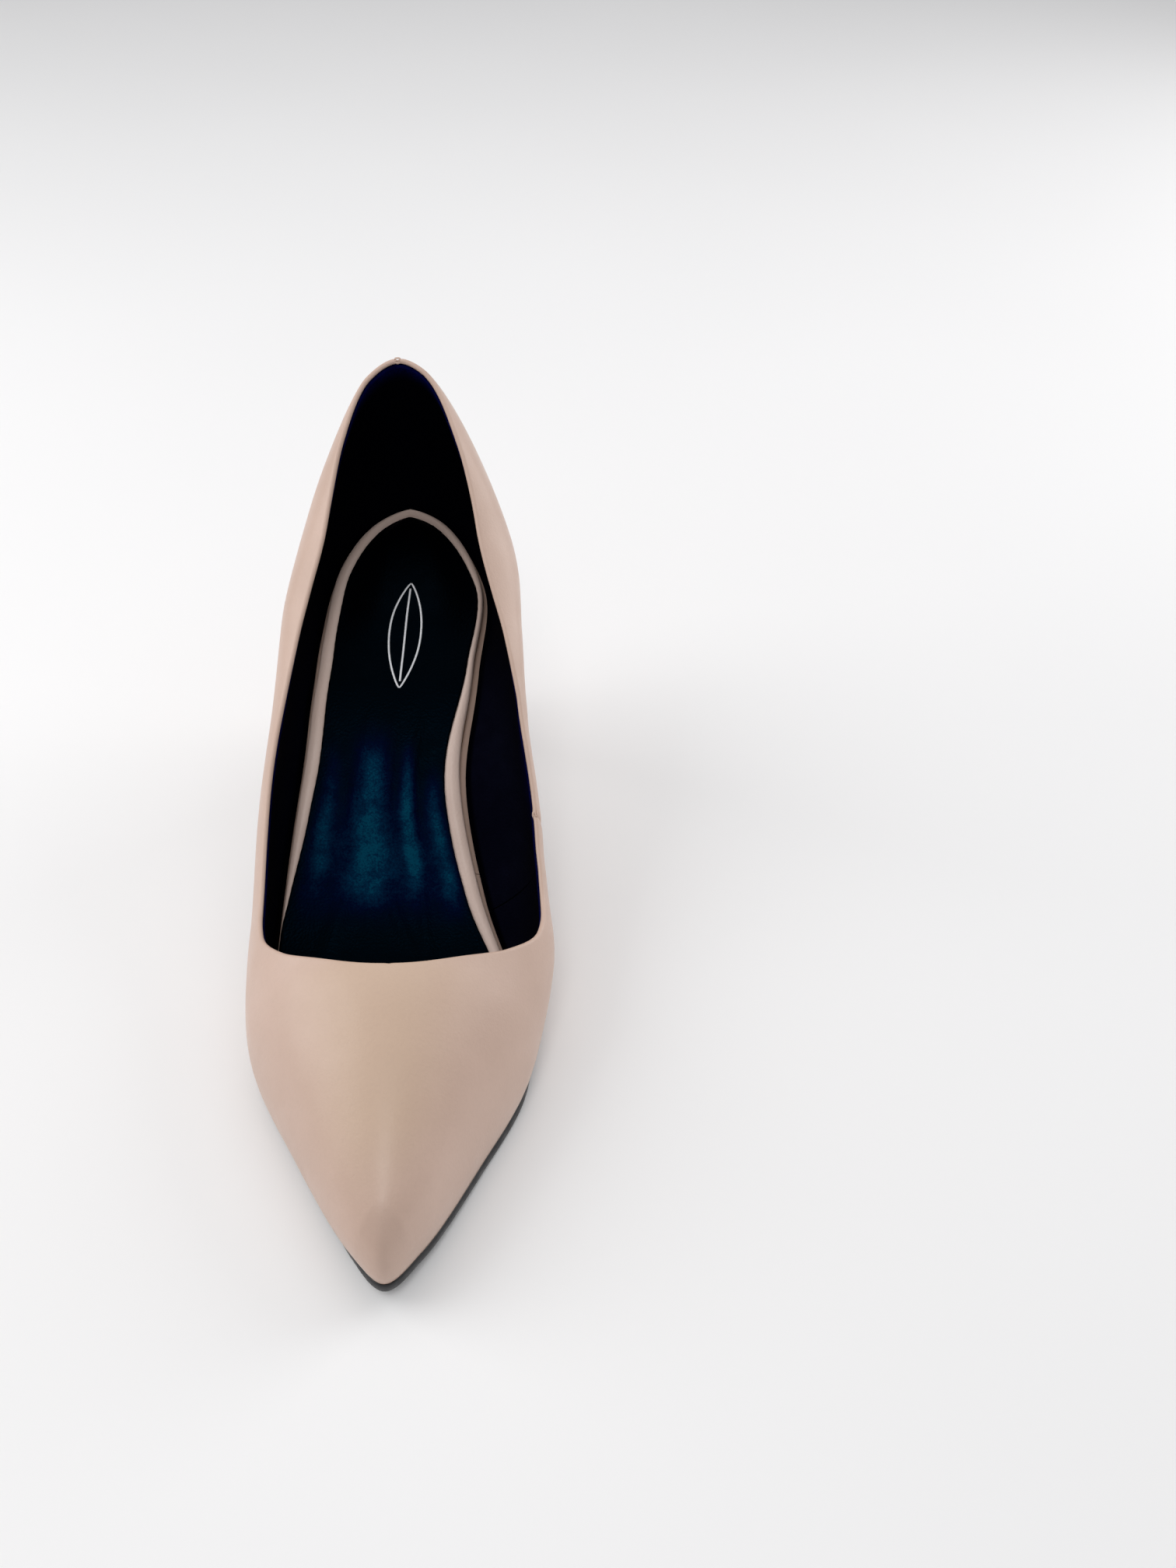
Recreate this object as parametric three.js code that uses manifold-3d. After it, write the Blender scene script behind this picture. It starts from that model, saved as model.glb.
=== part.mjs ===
// High-heeled court shoe (pump) for the right foot, cemented construction.
// Millimetres. +Z is up, the toe points to -Y, the inner side of the foot is +X.
// The upper, its linings and stiffeners are shells laid one inside another on one last shape.
// The insole parts and the outsole are sheets that follow the rise of the foot bed.

import * as THREE from 'three';
import { mergeVertices } from 'three/addons/utils/BufferGeometryUtils.js';
import Module from 'manifold-3d';

const wasm = await Module();
wasm.setup();

// ---------------------------------------------------------------- sizes

const BOTTOM_LENGTH = 234.5;      // toe tip to heel back, measured flat along the bottom edge
const BALL_WIDTH = 74.5;          // width of the bottom edge at the ball of the foot
const HEEL_RISE = 70.5;           // height of the heel seat over the ball
const WALL_HEIGHT = 1.0;          // multiplies the height of the topline and the vamp crest

const UPPER_THICKNESS = 1.1;
const LINING_THICKNESS = 0.8;
const STIFFENER_THICKNESS = 0.8;  // toe puff and heel counter
const TAPE_THICKNESS = 0.25;
const BOND_GAP = 0.15;            // between layers that are glued together
const MARGIN_WIDTH = 9;           // upper turned in under the insole
const MARGIN_THICKNESS = 0.9;
const SEAM_GAP = 0.3;

const INSOLE_THICKNESS = 1.2;
const SHANK_BOARD_THICKNESS = 0.9;
const COVER_THICKNESS = 0.5;
const SOCK_THICKNESS = 0.8;
const PAD_RISE = 1.6;             // how far the foam pads lift the sock
const SHANK_THICKNESS = 0.8;
const SHANK_WIDTH = 11;

const SOLE_FOREPART = 3.8;        // outsole thickness under the ball
const SOLE_FLAT = 0.1;            // tread pressed flat where the ball stands on the ground
const SOLE_WAIST = 2.2;           // outsole thickness from the waist back
const SOLE_EDGE = 0.4;            // how far the sole edge stands out at the toe and the inner side
const SOLE_TUCK = 0.8;            // how far it is tucked in under the outer side of the forepart

const BREAST_Y = 64;              // front of the heel where it meets the sole
const TOP_PIECE_HEIGHT = 5.2;
const HEEL_SKIN = 0.5;
const HEEL_TIP_SCALE = 0.225;     // heel tip outline as a fraction of the heel seat outline
const DOWEL_RADIUS = 2.3;
const DOWEL_BORE = 1.55;
const DOWEL_TOP = 40;
const PIN_RADIUS = 1.3;
const SCREW_RADIUS = 1.9;
const NAIL_RADIUS = 0.9;
const FIT = 0.3;                  // clearance round fasteners and between stacked parts
const LAYER_GAP = 0.2;            // between sheets laid on one another
const BALL_LEVEL = SOLE_FOREPART - SOLE_FLAT + FIT;  // bottom edge of the upper over the ground

const SIDE_SEAM_Y = 8;            // seam between vamp and inner quarter
const LINING_SEAM_Y = -2;         // seam between vamp lining and quarter linings
const GRIP_SEAM_Y = 84;           // seam between quarter linings and heel grip
const PUFF_END_Y = -78;
const COUNTER_END_Y = 44;
const THROAT_Y = -49.5;

// ---------------------------------------------------------------- outlines

// Bottom edge of the upper, from the heel back along the outer side to the toe and back again.
const BOTTOM_EDGE = [
  [0, 117], [-12.5, 110.5], [-23.5, 92], [-28, 68], [-31, 38], [-36.5, 5], [-39, -28],
  [-36.5, -54], [-23, -83], [-8.5, -108.5], [0, -117.5], [8.5, -108.5], [22.5, -83], [34.5, -57],
  [35.5, -30], [24.5, 2], [19, 30], [24, 58], [26.5, 84], [13.5, 110.5],
];

// Rise of the bottom edge over the ball, as a fraction of the heel rise.
const RISE = [
  [-119, 0.066], [-100, 0.028], [-75, 0.004], [-60, 0], [-45, 0.003], [-20, 0.046],
  [5, 0.206], [30, 0.461], [55, 0.695], [80, 0.851], [100, 0.943], [118, 1],
];

// Heights over the bottom edge: the crest of the last and the topline of the shoe.
const CREST = [
  [-107, 19.5], [-90, 29.5], [-70, 38], [-50, 42.5], [-40, 43], [-20, 45], [10, 40.5],
  [50, 35.5], [90, 59], [118, 96.5],
];
const TOPLINE = [
  [-49.5, 43], [-44.5, 39.5], [-37.5, 33.5], [-27.5, 28], [0, 25], [25, 24], [50, 26],
  [75, 36.5], [95, 49.5], [110, 59.5], [118, 64.5],
];

// Fullness of the side walls: sideways pull at the foot, upward pull at the foot, pull at the crest.
const SPREAD_OUTER = [
  [-118, 3], [-85, 6], [-50, 9], [-20, 11.5], [20, 19.5], [60, 21.5], [90, 13.5], [110, 7.5],
  [118, 6],
];
const SPREAD_INNER = [
  [-118, 1], [-85, 3], [-50, 10], [-20, 27], [20, 44], [60, 30], [90, 17], [110, 10], [118, 7],
];
const LIFT = [
  [-118, 6.5], [-85, 12.5], [-50, 17.5], [-20, 26], [20, 25], [60, 25.5], [90, 23], [118, 26.5],
];
const CROWN = [
  [-118, 6.5], [-90, 16], [-60, 25.5], [-40, 29], [-10, 25], [20, 21], [60, 13.5], [90, 15],
  [118, 25],
];

// Width of insole left showing beside the sock on each side.
const STRIP_OUTER = [
  [-30, 0.3], [-10, 0.4], [0, 1.4], [10, 2.7], [21, 3.7], [33, 4.2], [57, 3.9], [80, 3.7], [118, 3.9],
];
const STRIP_INNER = [
  [-70, 0.3], [-40, 1.2], [-15, 3.2], [0, 4.3], [21, 4.7], [33, 4.1], [44, 2.9], [57, 1.8], [72, 1.4],
  [90, 2.4], [118, 3.9],
];
const HEEL_FAN = 27;              // radius of the round heel seat
const TOE_FAN = 13;               // length of the toe over which the walls turn to face forward

// Heel profile from its tip (0) to the seat (1): back line, breast line and share of seat width.
const HEEL_BACK = [[0, 109.5], [0.3, 108], [0.6, 108.8], [0.85, 113], [1, 116]];
const HEEL_BREAST = [[0, 97.2], [0.3, 96.6], [0.6, 93.5], [0.8, 87], [0.92, 77.5], [1, BREAST_Y]];
const HEEL_WIDTH = [[0, HEEL_TIP_SCALE], [0.3, 0.22], [0.6, 0.34], [0.82, 0.62], [0.94, 0.88], [1, 1]];

// ---------------------------------------------------------------- curve helpers

const ALONG = BOTTOM_LENGTH / 234.5;
const ACROSS = BALL_WIDTH / 74.5;
const EDGE_COUNT = BOTTOM_EDGE.length;
const TOE_STEP = 10;              // the toe tip's place in the outline
const ROWS = 8;

const edgeCurve = new THREE.CatmullRomCurve3(
  BOTTOM_EDGE.map(([x, y]) => new THREE.Vector3(x * ACROSS, y * ALONG, 0)), true, 'centripetal');
const Y_TOE = -117.5 * ALONG;
const Y_BACK = 117 * ALONG;

// Smooth curve through a table of points that never overshoots them.
function profile(table, at) {
  const last = table.length - 1;
  const slope = [];
  for (let i = 0; i < last; i += 1) {
    slope.push((table[i + 1][1] - table[i][1]) / (table[i + 1][0] - table[i][0]));
  }
  const tangent = table.map((row, i) => {
    if (i === 0) return slope[0];
    if (i === last) return slope[last - 1];
    if (slope[i - 1] * slope[i] <= 0) return 0;
    const before = table[i][0] - table[i - 1][0];
    const after = table[i + 1][0] - table[i][0];
    return 3 * (before + after)
      / ((2 * after + before) / slope[i - 1] + (after + 2 * before) / slope[i]);
  });
  if (at <= table[0][0]) return table[0][1] + (at - table[0][0]) * tangent[0];
  if (at >= table[last][0]) return table[last][1] + (at - table[last][0]) * tangent[last];
  let k = 0;
  while (at > table[k + 1][0]) k += 1;
  const span = table[k + 1][0] - table[k][0];
  const t = (at - table[k][0]) / span;
  return table[k][1] * (1 + 2 * t) * (1 - t) ** 2 + tangent[k] * span * t * (1 - t) ** 2
    + table[k + 1][1] * t * t * (3 - 2 * t) + tangent[k + 1] * span * t * t * (t - 1);
}

function along(table, y) {
  return profile(table, y / ALONG);
}

function smooth(x) {
  const t = Math.min(1, Math.max(0, x));
  return t * t * (3 - 2 * t);
}

function softAbove(d, r) {
  return 0.5 * (d + Math.sqrt(d * d + r * r));
}

function bed(y) {
  return BALL_LEVEL + HEEL_RISE * along(RISE, y);
}

function bedSlope(y) {
  return (bed(y + 0.5) - bed(y - 0.5));
}

// Height of a layer that lies h over the bed, measured square to the bed's slope.
function over(y, h) {
  return bed(y) + h * Math.hypot(1, bedSlope(y));
}

function crest(y) {
  return bed(y) + WALL_HEIGHT * along(CREST, y);
}

// Share of the stiffener thickness present at y: full at toe and heel, none between.
function stiffened(y) {
  return Math.max(smooth((PUFF_END_Y - y) / 15), smooth((y - COUNTER_END_Y) / 16));
}

function footOf(s) {
  const wrapped = ((s % EDGE_COUNT) + EDGE_COUNT) % EDGE_COUNT;
  return edgeCurve.getPoint(wrapped / EDGE_COUNT);
}

// The four control points of the wall line that rises from place s on the bottom edge.
function wallLine(s) {
  const foot = footOf(s);
  const y = foot.y;
  const spineY = y - softAbove(y - (Y_BACK - HEEL_FAN), 4) + softAbove(Y_TOE + TOE_FAN - y, 3);
  const out = new THREE.Vector3(foot.x, y - spineY, 0);
  const reach = out.length();
  out.divideScalar(reach);
  const inner = 1 / (1 + Math.exp(-foot.x / 2));
  const spread = along(SPREAD_OUTER, y) * (1 - inner) + along(SPREAD_INNER, y) * inner;
  const lift = along(LIFT, y) * WALL_HEIGHT;
  const crown = Math.min(along(CROWN, y), 0.9 * reach);
  const slope = crest(spineY + 0.5) - crest(spineY - 0.5);
  const start = new THREE.Vector3(foot.x, y, bed(y));
  const end = new THREE.Vector3(0, spineY, crest(spineY));
  return {
    start,
    low: start.clone().addScaledVector(out, spread).add(new THREE.Vector3(0, 0, lift)),
    high: end.clone().addScaledVector(out, crown).add(new THREE.Vector3(0, 0, crown * out.y * slope)),
    end,
    crestNormal: new THREE.Vector3(0, -slope, 1).normalize(),
  };
}

function onLine(line, v) {
  const w = 1 - v;
  return new THREE.Vector3()
    .addScaledVector(line.start, w * w * w)
    .addScaledVector(line.low, 3 * w * w * v)
    .addScaledVector(line.high, 3 * w * v * v)
    .addScaledVector(line.end, v * v * v);
}

// A point on the last, moved inward by depth.
function lastPoint(s, v, depth) {
  const line = wallLine(s);
  const point = onLine(line, v);
  if (depth === 0) return point;
  let normal = line.crestNormal;
  if (v < 0.9995) {
    const step = 0.01;
    const sideways = onLine(wallLine(s + step), v).sub(onLine(wallLine(s - step), v));
    const upward = onLine(line, Math.min(1, v + 0.004)).sub(onLine(line, Math.max(0, v - 0.004)));
    normal = sideways.cross(upward).normalize();
  }
  return point.addScaledVector(normal, -depth);
}

// Outward direction of the bottom edge, seen from above.
function edgeNormal(s) {
  const run = footOf(s + 0.01).sub(footOf(s - 0.01));
  return new THREE.Vector3(run.y, -run.x, 0).normalize();
}

// How far up its wall line the topline lies: 1 where the vamp closes over the foot.
function toplineShare(s) {
  const line = wallLine(s);
  const excess = (v) => {
    const p = onLine(line, v);
    if (p.y < THROAT_Y * ALONG) return -1;
    return p.z - bed(p.y) - WALL_HEIGHT * along(TOPLINE, p.y);
  };
  let v = 0.02;
  while (v < 1 && excess(v) <= 0) v += 0.01;
  if (v >= 1) return 1;
  let low = v - 0.01;
  let high = v;
  for (let i = 0; i < 24; i += 1) {
    const middle = 0.5 * (low + high);
    if (excess(middle) > 0) high = middle;
    else low = middle;
  }
  return high;
}

// ---------------------------------------------------------------- stations along the shoe

function placeAt(side, y) {
  let low = TOE_STEP;
  let high = side === 'outer' ? 0 : EDGE_COUNT;
  for (let i = 0; i < 40; i += 1) {
    const middle = 0.5 * (low + high);
    if (footOf(middle).y > y) high = middle;
    else low = middle;
  }
  return 0.5 * (low + high);
}

function stationList() {
  const ys = [];
  for (let i = 1; i <= 6; i += 1) {
    ys.push(Y_TOE + 16 * (1 - Math.cos((i / 6) * Math.PI / 2)));
  }
  for (let i = 0; i <= 6; i += 1) {
    ys.push(THROAT_Y * ALONG + 0.02 + 12 * (i / 6) ** 2);
  }
  const half = SEAM_GAP / 2;
  const seams = [SIDE_SEAM_Y, LINING_SEAM_Y, GRIP_SEAM_Y];
  seams.forEach((y) => ys.push(y * ALONG - half, y * ALONG + half));
  ys.push(SIDE_SEAM_Y * ALONG + 5, PUFF_END_Y * ALONG, COUNTER_END_Y * ALONG, BREAST_Y * ALONG);
  for (let i = 0; i < 5; i += 1) {
    ys.push(Y_BACK - HEEL_FAN * (1 - Math.sin((i / 5) * Math.PI / 2)));
  }
  ys.sort((a, b) => a - b);
  const filled = [ys[0]];
  for (let i = 1; i < ys.length; i += 1) {
    const gap = ys[i] - ys[i - 1];
    const parts = Math.ceil(gap / 8.5);
    for (let j = 1; j <= parts; j += 1) filled.push(ys[i - 1] + (gap * j) / parts);
  }
  const stations = [{ y: Y_TOE, outer: TOE_STEP, inner: TOE_STEP }];
  filled.forEach((y) => stations.push({ y, outer: placeAt('outer', y), inner: placeAt('inner', y) }));
  const nearBack = 0.5 * SEAM_GAP / footOf(0.01).distanceTo(footOf(0)) * 0.01;
  stations.push({ y: Y_BACK - 0.01, outer: nearBack, inner: EDGE_COUNT - nearBack });
  stations.push({ y: Y_BACK, outer: 0, inner: EDGE_COUNT });
  stations.forEach((st) => {
    st.top = { outer: toplineShare(st.outer), inner: toplineShare(st.inner) };
    st.closed = st.top.outer === 1 && st.top.inner === 1;
  });
  return stations;
}

const STATIONS = stationList();
const LAST_STATION = STATIONS.length - 1;

function stationsBetween(from, to) {
  return STATIONS.filter((st) => st.y >= from - 0.001 && st.y <= to + 0.001);
}

// ---------------------------------------------------------------- mesh helpers

function addQuad(list, a, b, c, d, flip) {
  if (flip) list.push(a, c, b, a, d, c);
  else list.push(a, b, c, a, c, d);
}

// One closed body from a list of triangle corners.
function closedBody(corners) {
  const raw = new THREE.BufferGeometry().setFromPoints(corners);
  const welded = mergeVertices(raw, 1e-4);
  const position = welded.getAttribute('position');
  const index = welded.getIndex();
  const kept = [];
  for (let i = 0; i < index.count; i += 3) {
    const a = index.getX(i);
    const b = index.getX(i + 1);
    const c = index.getX(i + 2);
    if (a !== b && b !== c && a !== c) kept.push(a, b, c);
  }
  let volume = 0;
  const p = new THREE.Vector3();
  const q = new THREE.Vector3();
  const r = new THREE.Vector3();
  for (let i = 0; i < kept.length; i += 3) {
    p.fromBufferAttribute(position, kept[i]);
    q.fromBufferAttribute(position, kept[i + 1]);
    r.fromBufferAttribute(position, kept[i + 2]);
    volume += p.dot(q.cross(r));
  }
  if (volume < 0) {
    for (let i = 0; i < kept.length; i += 3) [kept[i + 1], kept[i + 2]] = [kept[i + 2], kept[i + 1]];
  }
  welded.setIndex(kept);
  welded.computeVertexNormals();
  return welded;
}

// A shell between two depths inside the last. Each side runs between its own two stations.
function wallShell({ sides, outside, inside, rows = [0, ROWS], foot = 0, margin = 0 }) {
  const corners = [];
  const names = Object.keys(sides);
  names.forEach((side) => {
    const flip = side === 'inner';
    const list = sides[side];
    const rings = list.map((st) => {
      const s = st[side];
      const share = st.top[side];
      const out = [];
      const inn = [];
      if (margin > 0) {
        const line = wallLine(s);
        const start = line.start;
        const toSpine = new THREE.Vector3(line.end.x - start.x, line.end.y - start.y, 0);
        const width = Math.min(margin, toSpine.length() * 0.8);
        const edge = start.clone().addScaledVector(toSpine.normalize(), width);
        edge.z = bed(edge.y);
        out.push(edge);
        inn.push(new THREE.Vector3(edge.x, edge.y, over(edge.y, MARGIN_THICKNESS)));
      }
      for (let j = rows[0]; j <= rows[1]; j += 1) {
        const v = (share * j) / ROWS;
        const a = lastPoint(s, v, outside(st.y));
        const b = lastPoint(s, v, inside(st.y));
        if (j === 0 && margin > 0) {
          b.z = over(b.y, MARGIN_THICKNESS);
        } else if (j === 0) {
          a.z = Math.max(a.z, over(a.y, foot));
          b.z = Math.max(b.z, over(b.y, foot));
        }
        out.push(a);
        inn.push(b);
      }
      return { out, inn, closed: st.closed && rows[1] === ROWS };
    });
    const top = rings[0].out.length - 1;
    for (let k = 0; k < rings.length - 1; k += 1) {
      const a = rings[k];
      const b = rings[k + 1];
      for (let j = 0; j < top; j += 1) {
        addQuad(corners, a.out[j], a.out[j + 1], b.out[j + 1], b.out[j], flip);
        addQuad(corners, a.inn[j], b.inn[j], b.inn[j + 1], a.inn[j + 1], flip);
      }
      addQuad(corners, a.out[0], b.out[0], b.inn[0], a.inn[0], flip);
      if (!(a.closed && b.closed)) {
        addQuad(corners, a.out[top], a.inn[top], b.inn[top], b.out[top], flip);
      }
    }
    const joinsToe = names.length === 2 && list[0] === STATIONS[0];
    const joinsBack = names.length === 2 && list[list.length - 1] === STATIONS[LAST_STATION];
    const ends = [];
    if (!joinsToe) ends.push([rings[0], !flip]);
    if (!joinsBack) ends.push([rings[rings.length - 1], flip]);
    ends.forEach(([ring, turned]) => {
      for (let j = 0; j < top; j += 1) {
        addQuad(corners, ring.out[j], ring.out[j + 1], ring.inn[j + 1], ring.inn[j], turned);
      }
    });
  });
  return closedBody(corners);
}

// A sheet that lies across the shoe between inset copies of the bottom edge.
function crossSheet({ list, inset, lowerInset = inset, top, bottom, across = 2, span = [0, 1] }) {
  const corners = [];
  const rowOf = (st, insets, height) => {
    const ends = ['outer', 'inner'].map((side) => {
      const p = footOf(st[side]).addScaledVector(edgeNormal(st[side]), -insets(st.y, side));
      if (side === 'outer') p.x = Math.min(p.x, 0);
      else p.x = Math.max(p.x, 0);
      return p;
    });
    const row = [];
    for (let i = 0; i <= across; i += 1) {
      const w = span[0] + ((span[1] - span[0]) * i) / across;
      const p = ends[0].clone().lerp(ends[1], w);
      p.z = height(p.y, w);
      row.push(p);
    }
    return row;
  };
  const tops = list.map((st) => rowOf(st, inset, top));
  const bottoms = list.map((st) => rowOf(st, lowerInset, bottom));
  for (let k = 0; k < list.length - 1; k += 1) {
    for (let i = 0; i < across; i += 1) {
      addQuad(corners, tops[k][i], tops[k][i + 1], tops[k + 1][i + 1], tops[k + 1][i], false);
      addQuad(corners, bottoms[k][i], bottoms[k + 1][i], bottoms[k + 1][i + 1], bottoms[k][i + 1], false);
    }
    addQuad(corners, tops[k][0], tops[k + 1][0], bottoms[k + 1][0], bottoms[k][0], false);
    addQuad(corners, tops[k][across], bottoms[k][across], bottoms[k + 1][across], tops[k + 1][across], false);
  }
  const ends = [[0, false], [list.length - 1, true]];
  ends.forEach(([k, turned]) => {
    for (let i = 0; i < across; i += 1) {
      addQuad(corners, tops[k][i], bottoms[k][i], bottoms[k][i + 1], tops[k][i + 1], turned);
    }
  });
  return closedBody(corners);
}

// ---------------------------------------------------------------- cutting

function toSolid(geometry) {
  const plain = geometry.clone();
  plain.deleteAttribute('normal');
  plain.deleteAttribute('uv');
  const welded = mergeVertices(plain, 1e-5);
  return new wasm.Manifold(new wasm.Mesh({
    numProp: 3,
    vertProperties: Float32Array.from(welded.getAttribute('position').array),
    triVerts: Uint32Array.from(welded.getIndex().array),
  }));
}

function fromSolid(solid) {
  const mesh = solid.getMesh();
  const geometry = new THREE.BufferGeometry();
  geometry.setAttribute('position', new THREE.BufferAttribute(Float32Array.from(mesh.vertProperties), 3));
  geometry.setIndex(Array.from(mesh.triVerts));
  geometry.computeVertexNormals();
  return geometry;
}

function drilled(geometry, holes) {
  return fromSolid(holes.reduce((solid, hole) => solid.subtract(toSolid(hole)), toSolid(geometry)));
}

// Turned part: a profile of [radius, height] pairs that starts and ends on the axis.
function turned(pairs, segments = 20) {
  return new THREE.LatheGeometry(pairs.map(([r, h]) => new THREE.Vector2(r, h)), segments);
}

// A turned profile stands with its axis along +Y; this seats it on the foot bed at x, y.
function seatOnBed(geometry, x, y, height) {
  const tilt = Math.atan(bedSlope(y));
  const matrix = new THREE.Matrix4().makeTranslation(x, y, bed(y))
    .multiply(new THREE.Matrix4().makeRotationX(Math.PI / 2 + tilt))
    .multiply(new THREE.Matrix4().makeTranslation(0, height, 0));
  return geometry.clone().applyMatrix4(matrix);
}

function standUpright(geometry, x, y, z) {
  const matrix = new THREE.Matrix4().makeTranslation(x, y, z)
    .multiply(new THREE.Matrix4().makeRotationX(Math.PI / 2));
  return geometry.clone().applyMatrix4(matrix);
}

function bore(radius, low, high) {
  return turned([[0, low], [radius, low], [radius, high], [0, high]], 18);
}

// ---------------------------------------------------------------- materials

function material(color, roughness, metalness = 0) {
  return new THREE.MeshStandardMaterial({ color, roughness, metalness });
}

const nude = material(0xd9b9a5, 0.42);
const coverNude = material(0xdcc0ae, 0.5);
const black = material(0x0b0c12, 0.45);
const gripBlack = material(0x0d0f16, 0.7);
const soleBlack = material(0x101012, 0.55);
const rubberBlack = material(0x121214, 0.7);
const board = material(0x8a6a4a, 0.9);
const stiffener = material(0xb9a88e, 0.85);
const tapeWhite = material(0xe6e2da, 0.8);
const foam = material(0xe8ddb8, 0.95);
const cork = material(0xb08a5c, 0.95);
const steel = material(0x8e9296, 0.35, 1);
const plastic = material(0xd8d4c8, 0.6);
const foil = material(0xe9e9ee, 0.3, 0.6);

const group = new THREE.Group();
group.name = 'court_shoe';
const upperGroup = new THREE.Group();
const bottomGroup = new THREE.Group();
const heelGroup = new THREE.Group();
upperGroup.name = 'upper_assembly';
bottomGroup.name = 'bottom_assembly';
heelGroup.name = 'heel_assembly';
group.add(upperGroup, bottomGroup, heelGroup);

function addPart(parent, name, geometry, look) {
  const mesh = new THREE.Mesh(geometry, look);
  mesh.name = name;
  parent.add(mesh);
}

// ---------------------------------------------------------------- upper

const LINING_DEPTH = UPPER_THICKNESS + TAPE_THICKNESS + 2 * BOND_GAP;
const stiffenerOut = () => UPPER_THICKNESS + BOND_GAP;
const stiffenerIn = (y) => UPPER_THICKNESS + BOND_GAP + Math.max(0.2, STIFFENER_THICKNESS * stiffened(y));
const liningOut = (y) => LINING_DEPTH + STIFFENER_THICKNESS * stiffened(y);
const liningIn = (y) => liningOut(y) + LINING_THICKNESS;
const tapeOut = () => UPPER_THICKNESS + BOND_GAP;
const tapeIn = () => UPPER_THICKNESS + BOND_GAP + TAPE_THICKNESS;
const half = SEAM_GAP / 2;
const sideSeam = SIDE_SEAM_Y * ALONG;
const liningSeam = LINING_SEAM_Y * ALONG;
const gripSeam = GRIP_SEAM_Y * ALONG;
const puffEnd = PUFF_END_Y * ALONG;
const counterEnd = COUNTER_END_Y * ALONG;
const beforeBack = Y_BACK - 0.01;
const LINING_FOOT = MARGIN_THICKNESS + LAYER_GAP;

addPart(upperGroup, 'vamp', wallShell({
  sides: {
    outer: stationsBetween(Y_TOE, beforeBack),
    inner: stationsBetween(Y_TOE, sideSeam - half),
  },
  outside: () => 0,
  inside: () => UPPER_THICKNESS,
  margin: MARGIN_WIDTH,
}), nude);

addPart(upperGroup, 'medial_quarter', wallShell({
  sides: { inner: stationsBetween(sideSeam + half, beforeBack) },
  outside: () => 0,
  inside: () => UPPER_THICKNESS,
  margin: MARGIN_WIDTH,
}), nude);

addPart(upperGroup, 'toe_puff', wallShell({
  sides: { outer: stationsBetween(Y_TOE, puffEnd), inner: stationsBetween(Y_TOE, puffEnd) },
  outside: stiffenerOut,
  inside: stiffenerIn,
  foot: LINING_FOOT,
}), stiffener);

addPart(upperGroup, 'heel_counter', wallShell({
  sides: { outer: stationsBetween(counterEnd, Y_BACK), inner: stationsBetween(counterEnd, Y_BACK) },
  outside: stiffenerOut,
  inside: stiffenerIn,
  rows: [0, ROWS - 2],
  foot: LINING_FOOT,
}), stiffener);

const tapeStart = THROAT_Y * ALONG + 12;
addPart(upperGroup, 'topline_tape', wallShell({
  sides: { outer: stationsBetween(tapeStart, Y_BACK), inner: stationsBetween(tapeStart, Y_BACK) },
  outside: tapeOut,
  inside: tapeIn,
  rows: [ROWS - 1, ROWS],
}), tapeWhite);

addPart(upperGroup, 'side_seam_tape', wallShell({
  sides: { inner: stationsBetween(sideSeam - half, sideSeam + 5) },
  outside: tapeOut,
  inside: tapeIn,
  rows: [0, ROWS - 2],
  foot: LINING_FOOT,
}), tapeWhite);

addPart(upperGroup, 'vamp_lining', wallShell({
  sides: {
    outer: stationsBetween(Y_TOE, liningSeam - half),
    inner: stationsBetween(Y_TOE, liningSeam - half),
  },
  outside: liningOut,
  inside: liningIn,
  foot: LINING_FOOT,
}), black);

addPart(upperGroup, 'lateral_quarter_lining', wallShell({
  sides: { outer: stationsBetween(liningSeam + half, gripSeam - half) },
  outside: liningOut,
  inside: liningIn,
  foot: LINING_FOOT,
}), black);

addPart(upperGroup, 'medial_quarter_lining', wallShell({
  sides: { inner: stationsBetween(liningSeam + half, gripSeam - half) },
  outside: liningOut,
  inside: liningIn,
  foot: LINING_FOOT,
}), black);

addPart(upperGroup, 'heel_grip_lining', wallShell({
  sides: {
    outer: stationsBetween(gripSeam + half, Y_BACK),
    inner: stationsBetween(gripSeam + half, Y_BACK),
  },
  outside: liningOut,
  inside: liningIn,
  foot: LINING_FOOT,
}), gripBlack);

// ---------------------------------------------------------------- insole parts

const INSOLE_LOW = MARGIN_THICKNESS + LAYER_GAP;
const INSOLE_HIGH = INSOLE_LOW + INSOLE_THICKNESS;
const boardStart = -25 * ALONG;
const boardShare = (y) => smooth((y - boardStart) / 20);
const coverLow = (y) => INSOLE_HIGH + LAYER_GAP + (SHANK_BOARD_THICKNESS + LAYER_GAP) * boardShare(y);
const coverHigh = (y) => coverLow(y) + COVER_THICKNESS;
const liningClear = (y) => LINING_DEPTH + LINING_THICKNESS + STIFFENER_THICKNESS * stiffened(y) + FIT;

const screwSpot = [0, 90 * ALONG];
// Nails go in from the margin's inner edge by a set distance, toward the middle of the seat.
const NAIL_INSET = 5;
const nailSpots = [['outer', 80], ['inner', 80], ['outer', 101], ['inner', 101]].map(([side, y]) => {
  const line = wallLine(placeAt(side, y * ALONG));
  const inward = new THREE.Vector3(line.end.x - line.start.x, line.end.y - line.start.y, 0).normalize();
  const spot = line.start.clone().addScaledVector(inward, MARGIN_WIDTH + NAIL_INSET);
  return [spot.x, spot.y];
});
const rivetSpots = [[0, -6], [-1, 66]].map(([x, y]) => [x * ACROSS, y * ALONG]);
const HEAD_LEVEL = INSOLE_HIGH + BOND_GAP;

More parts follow.
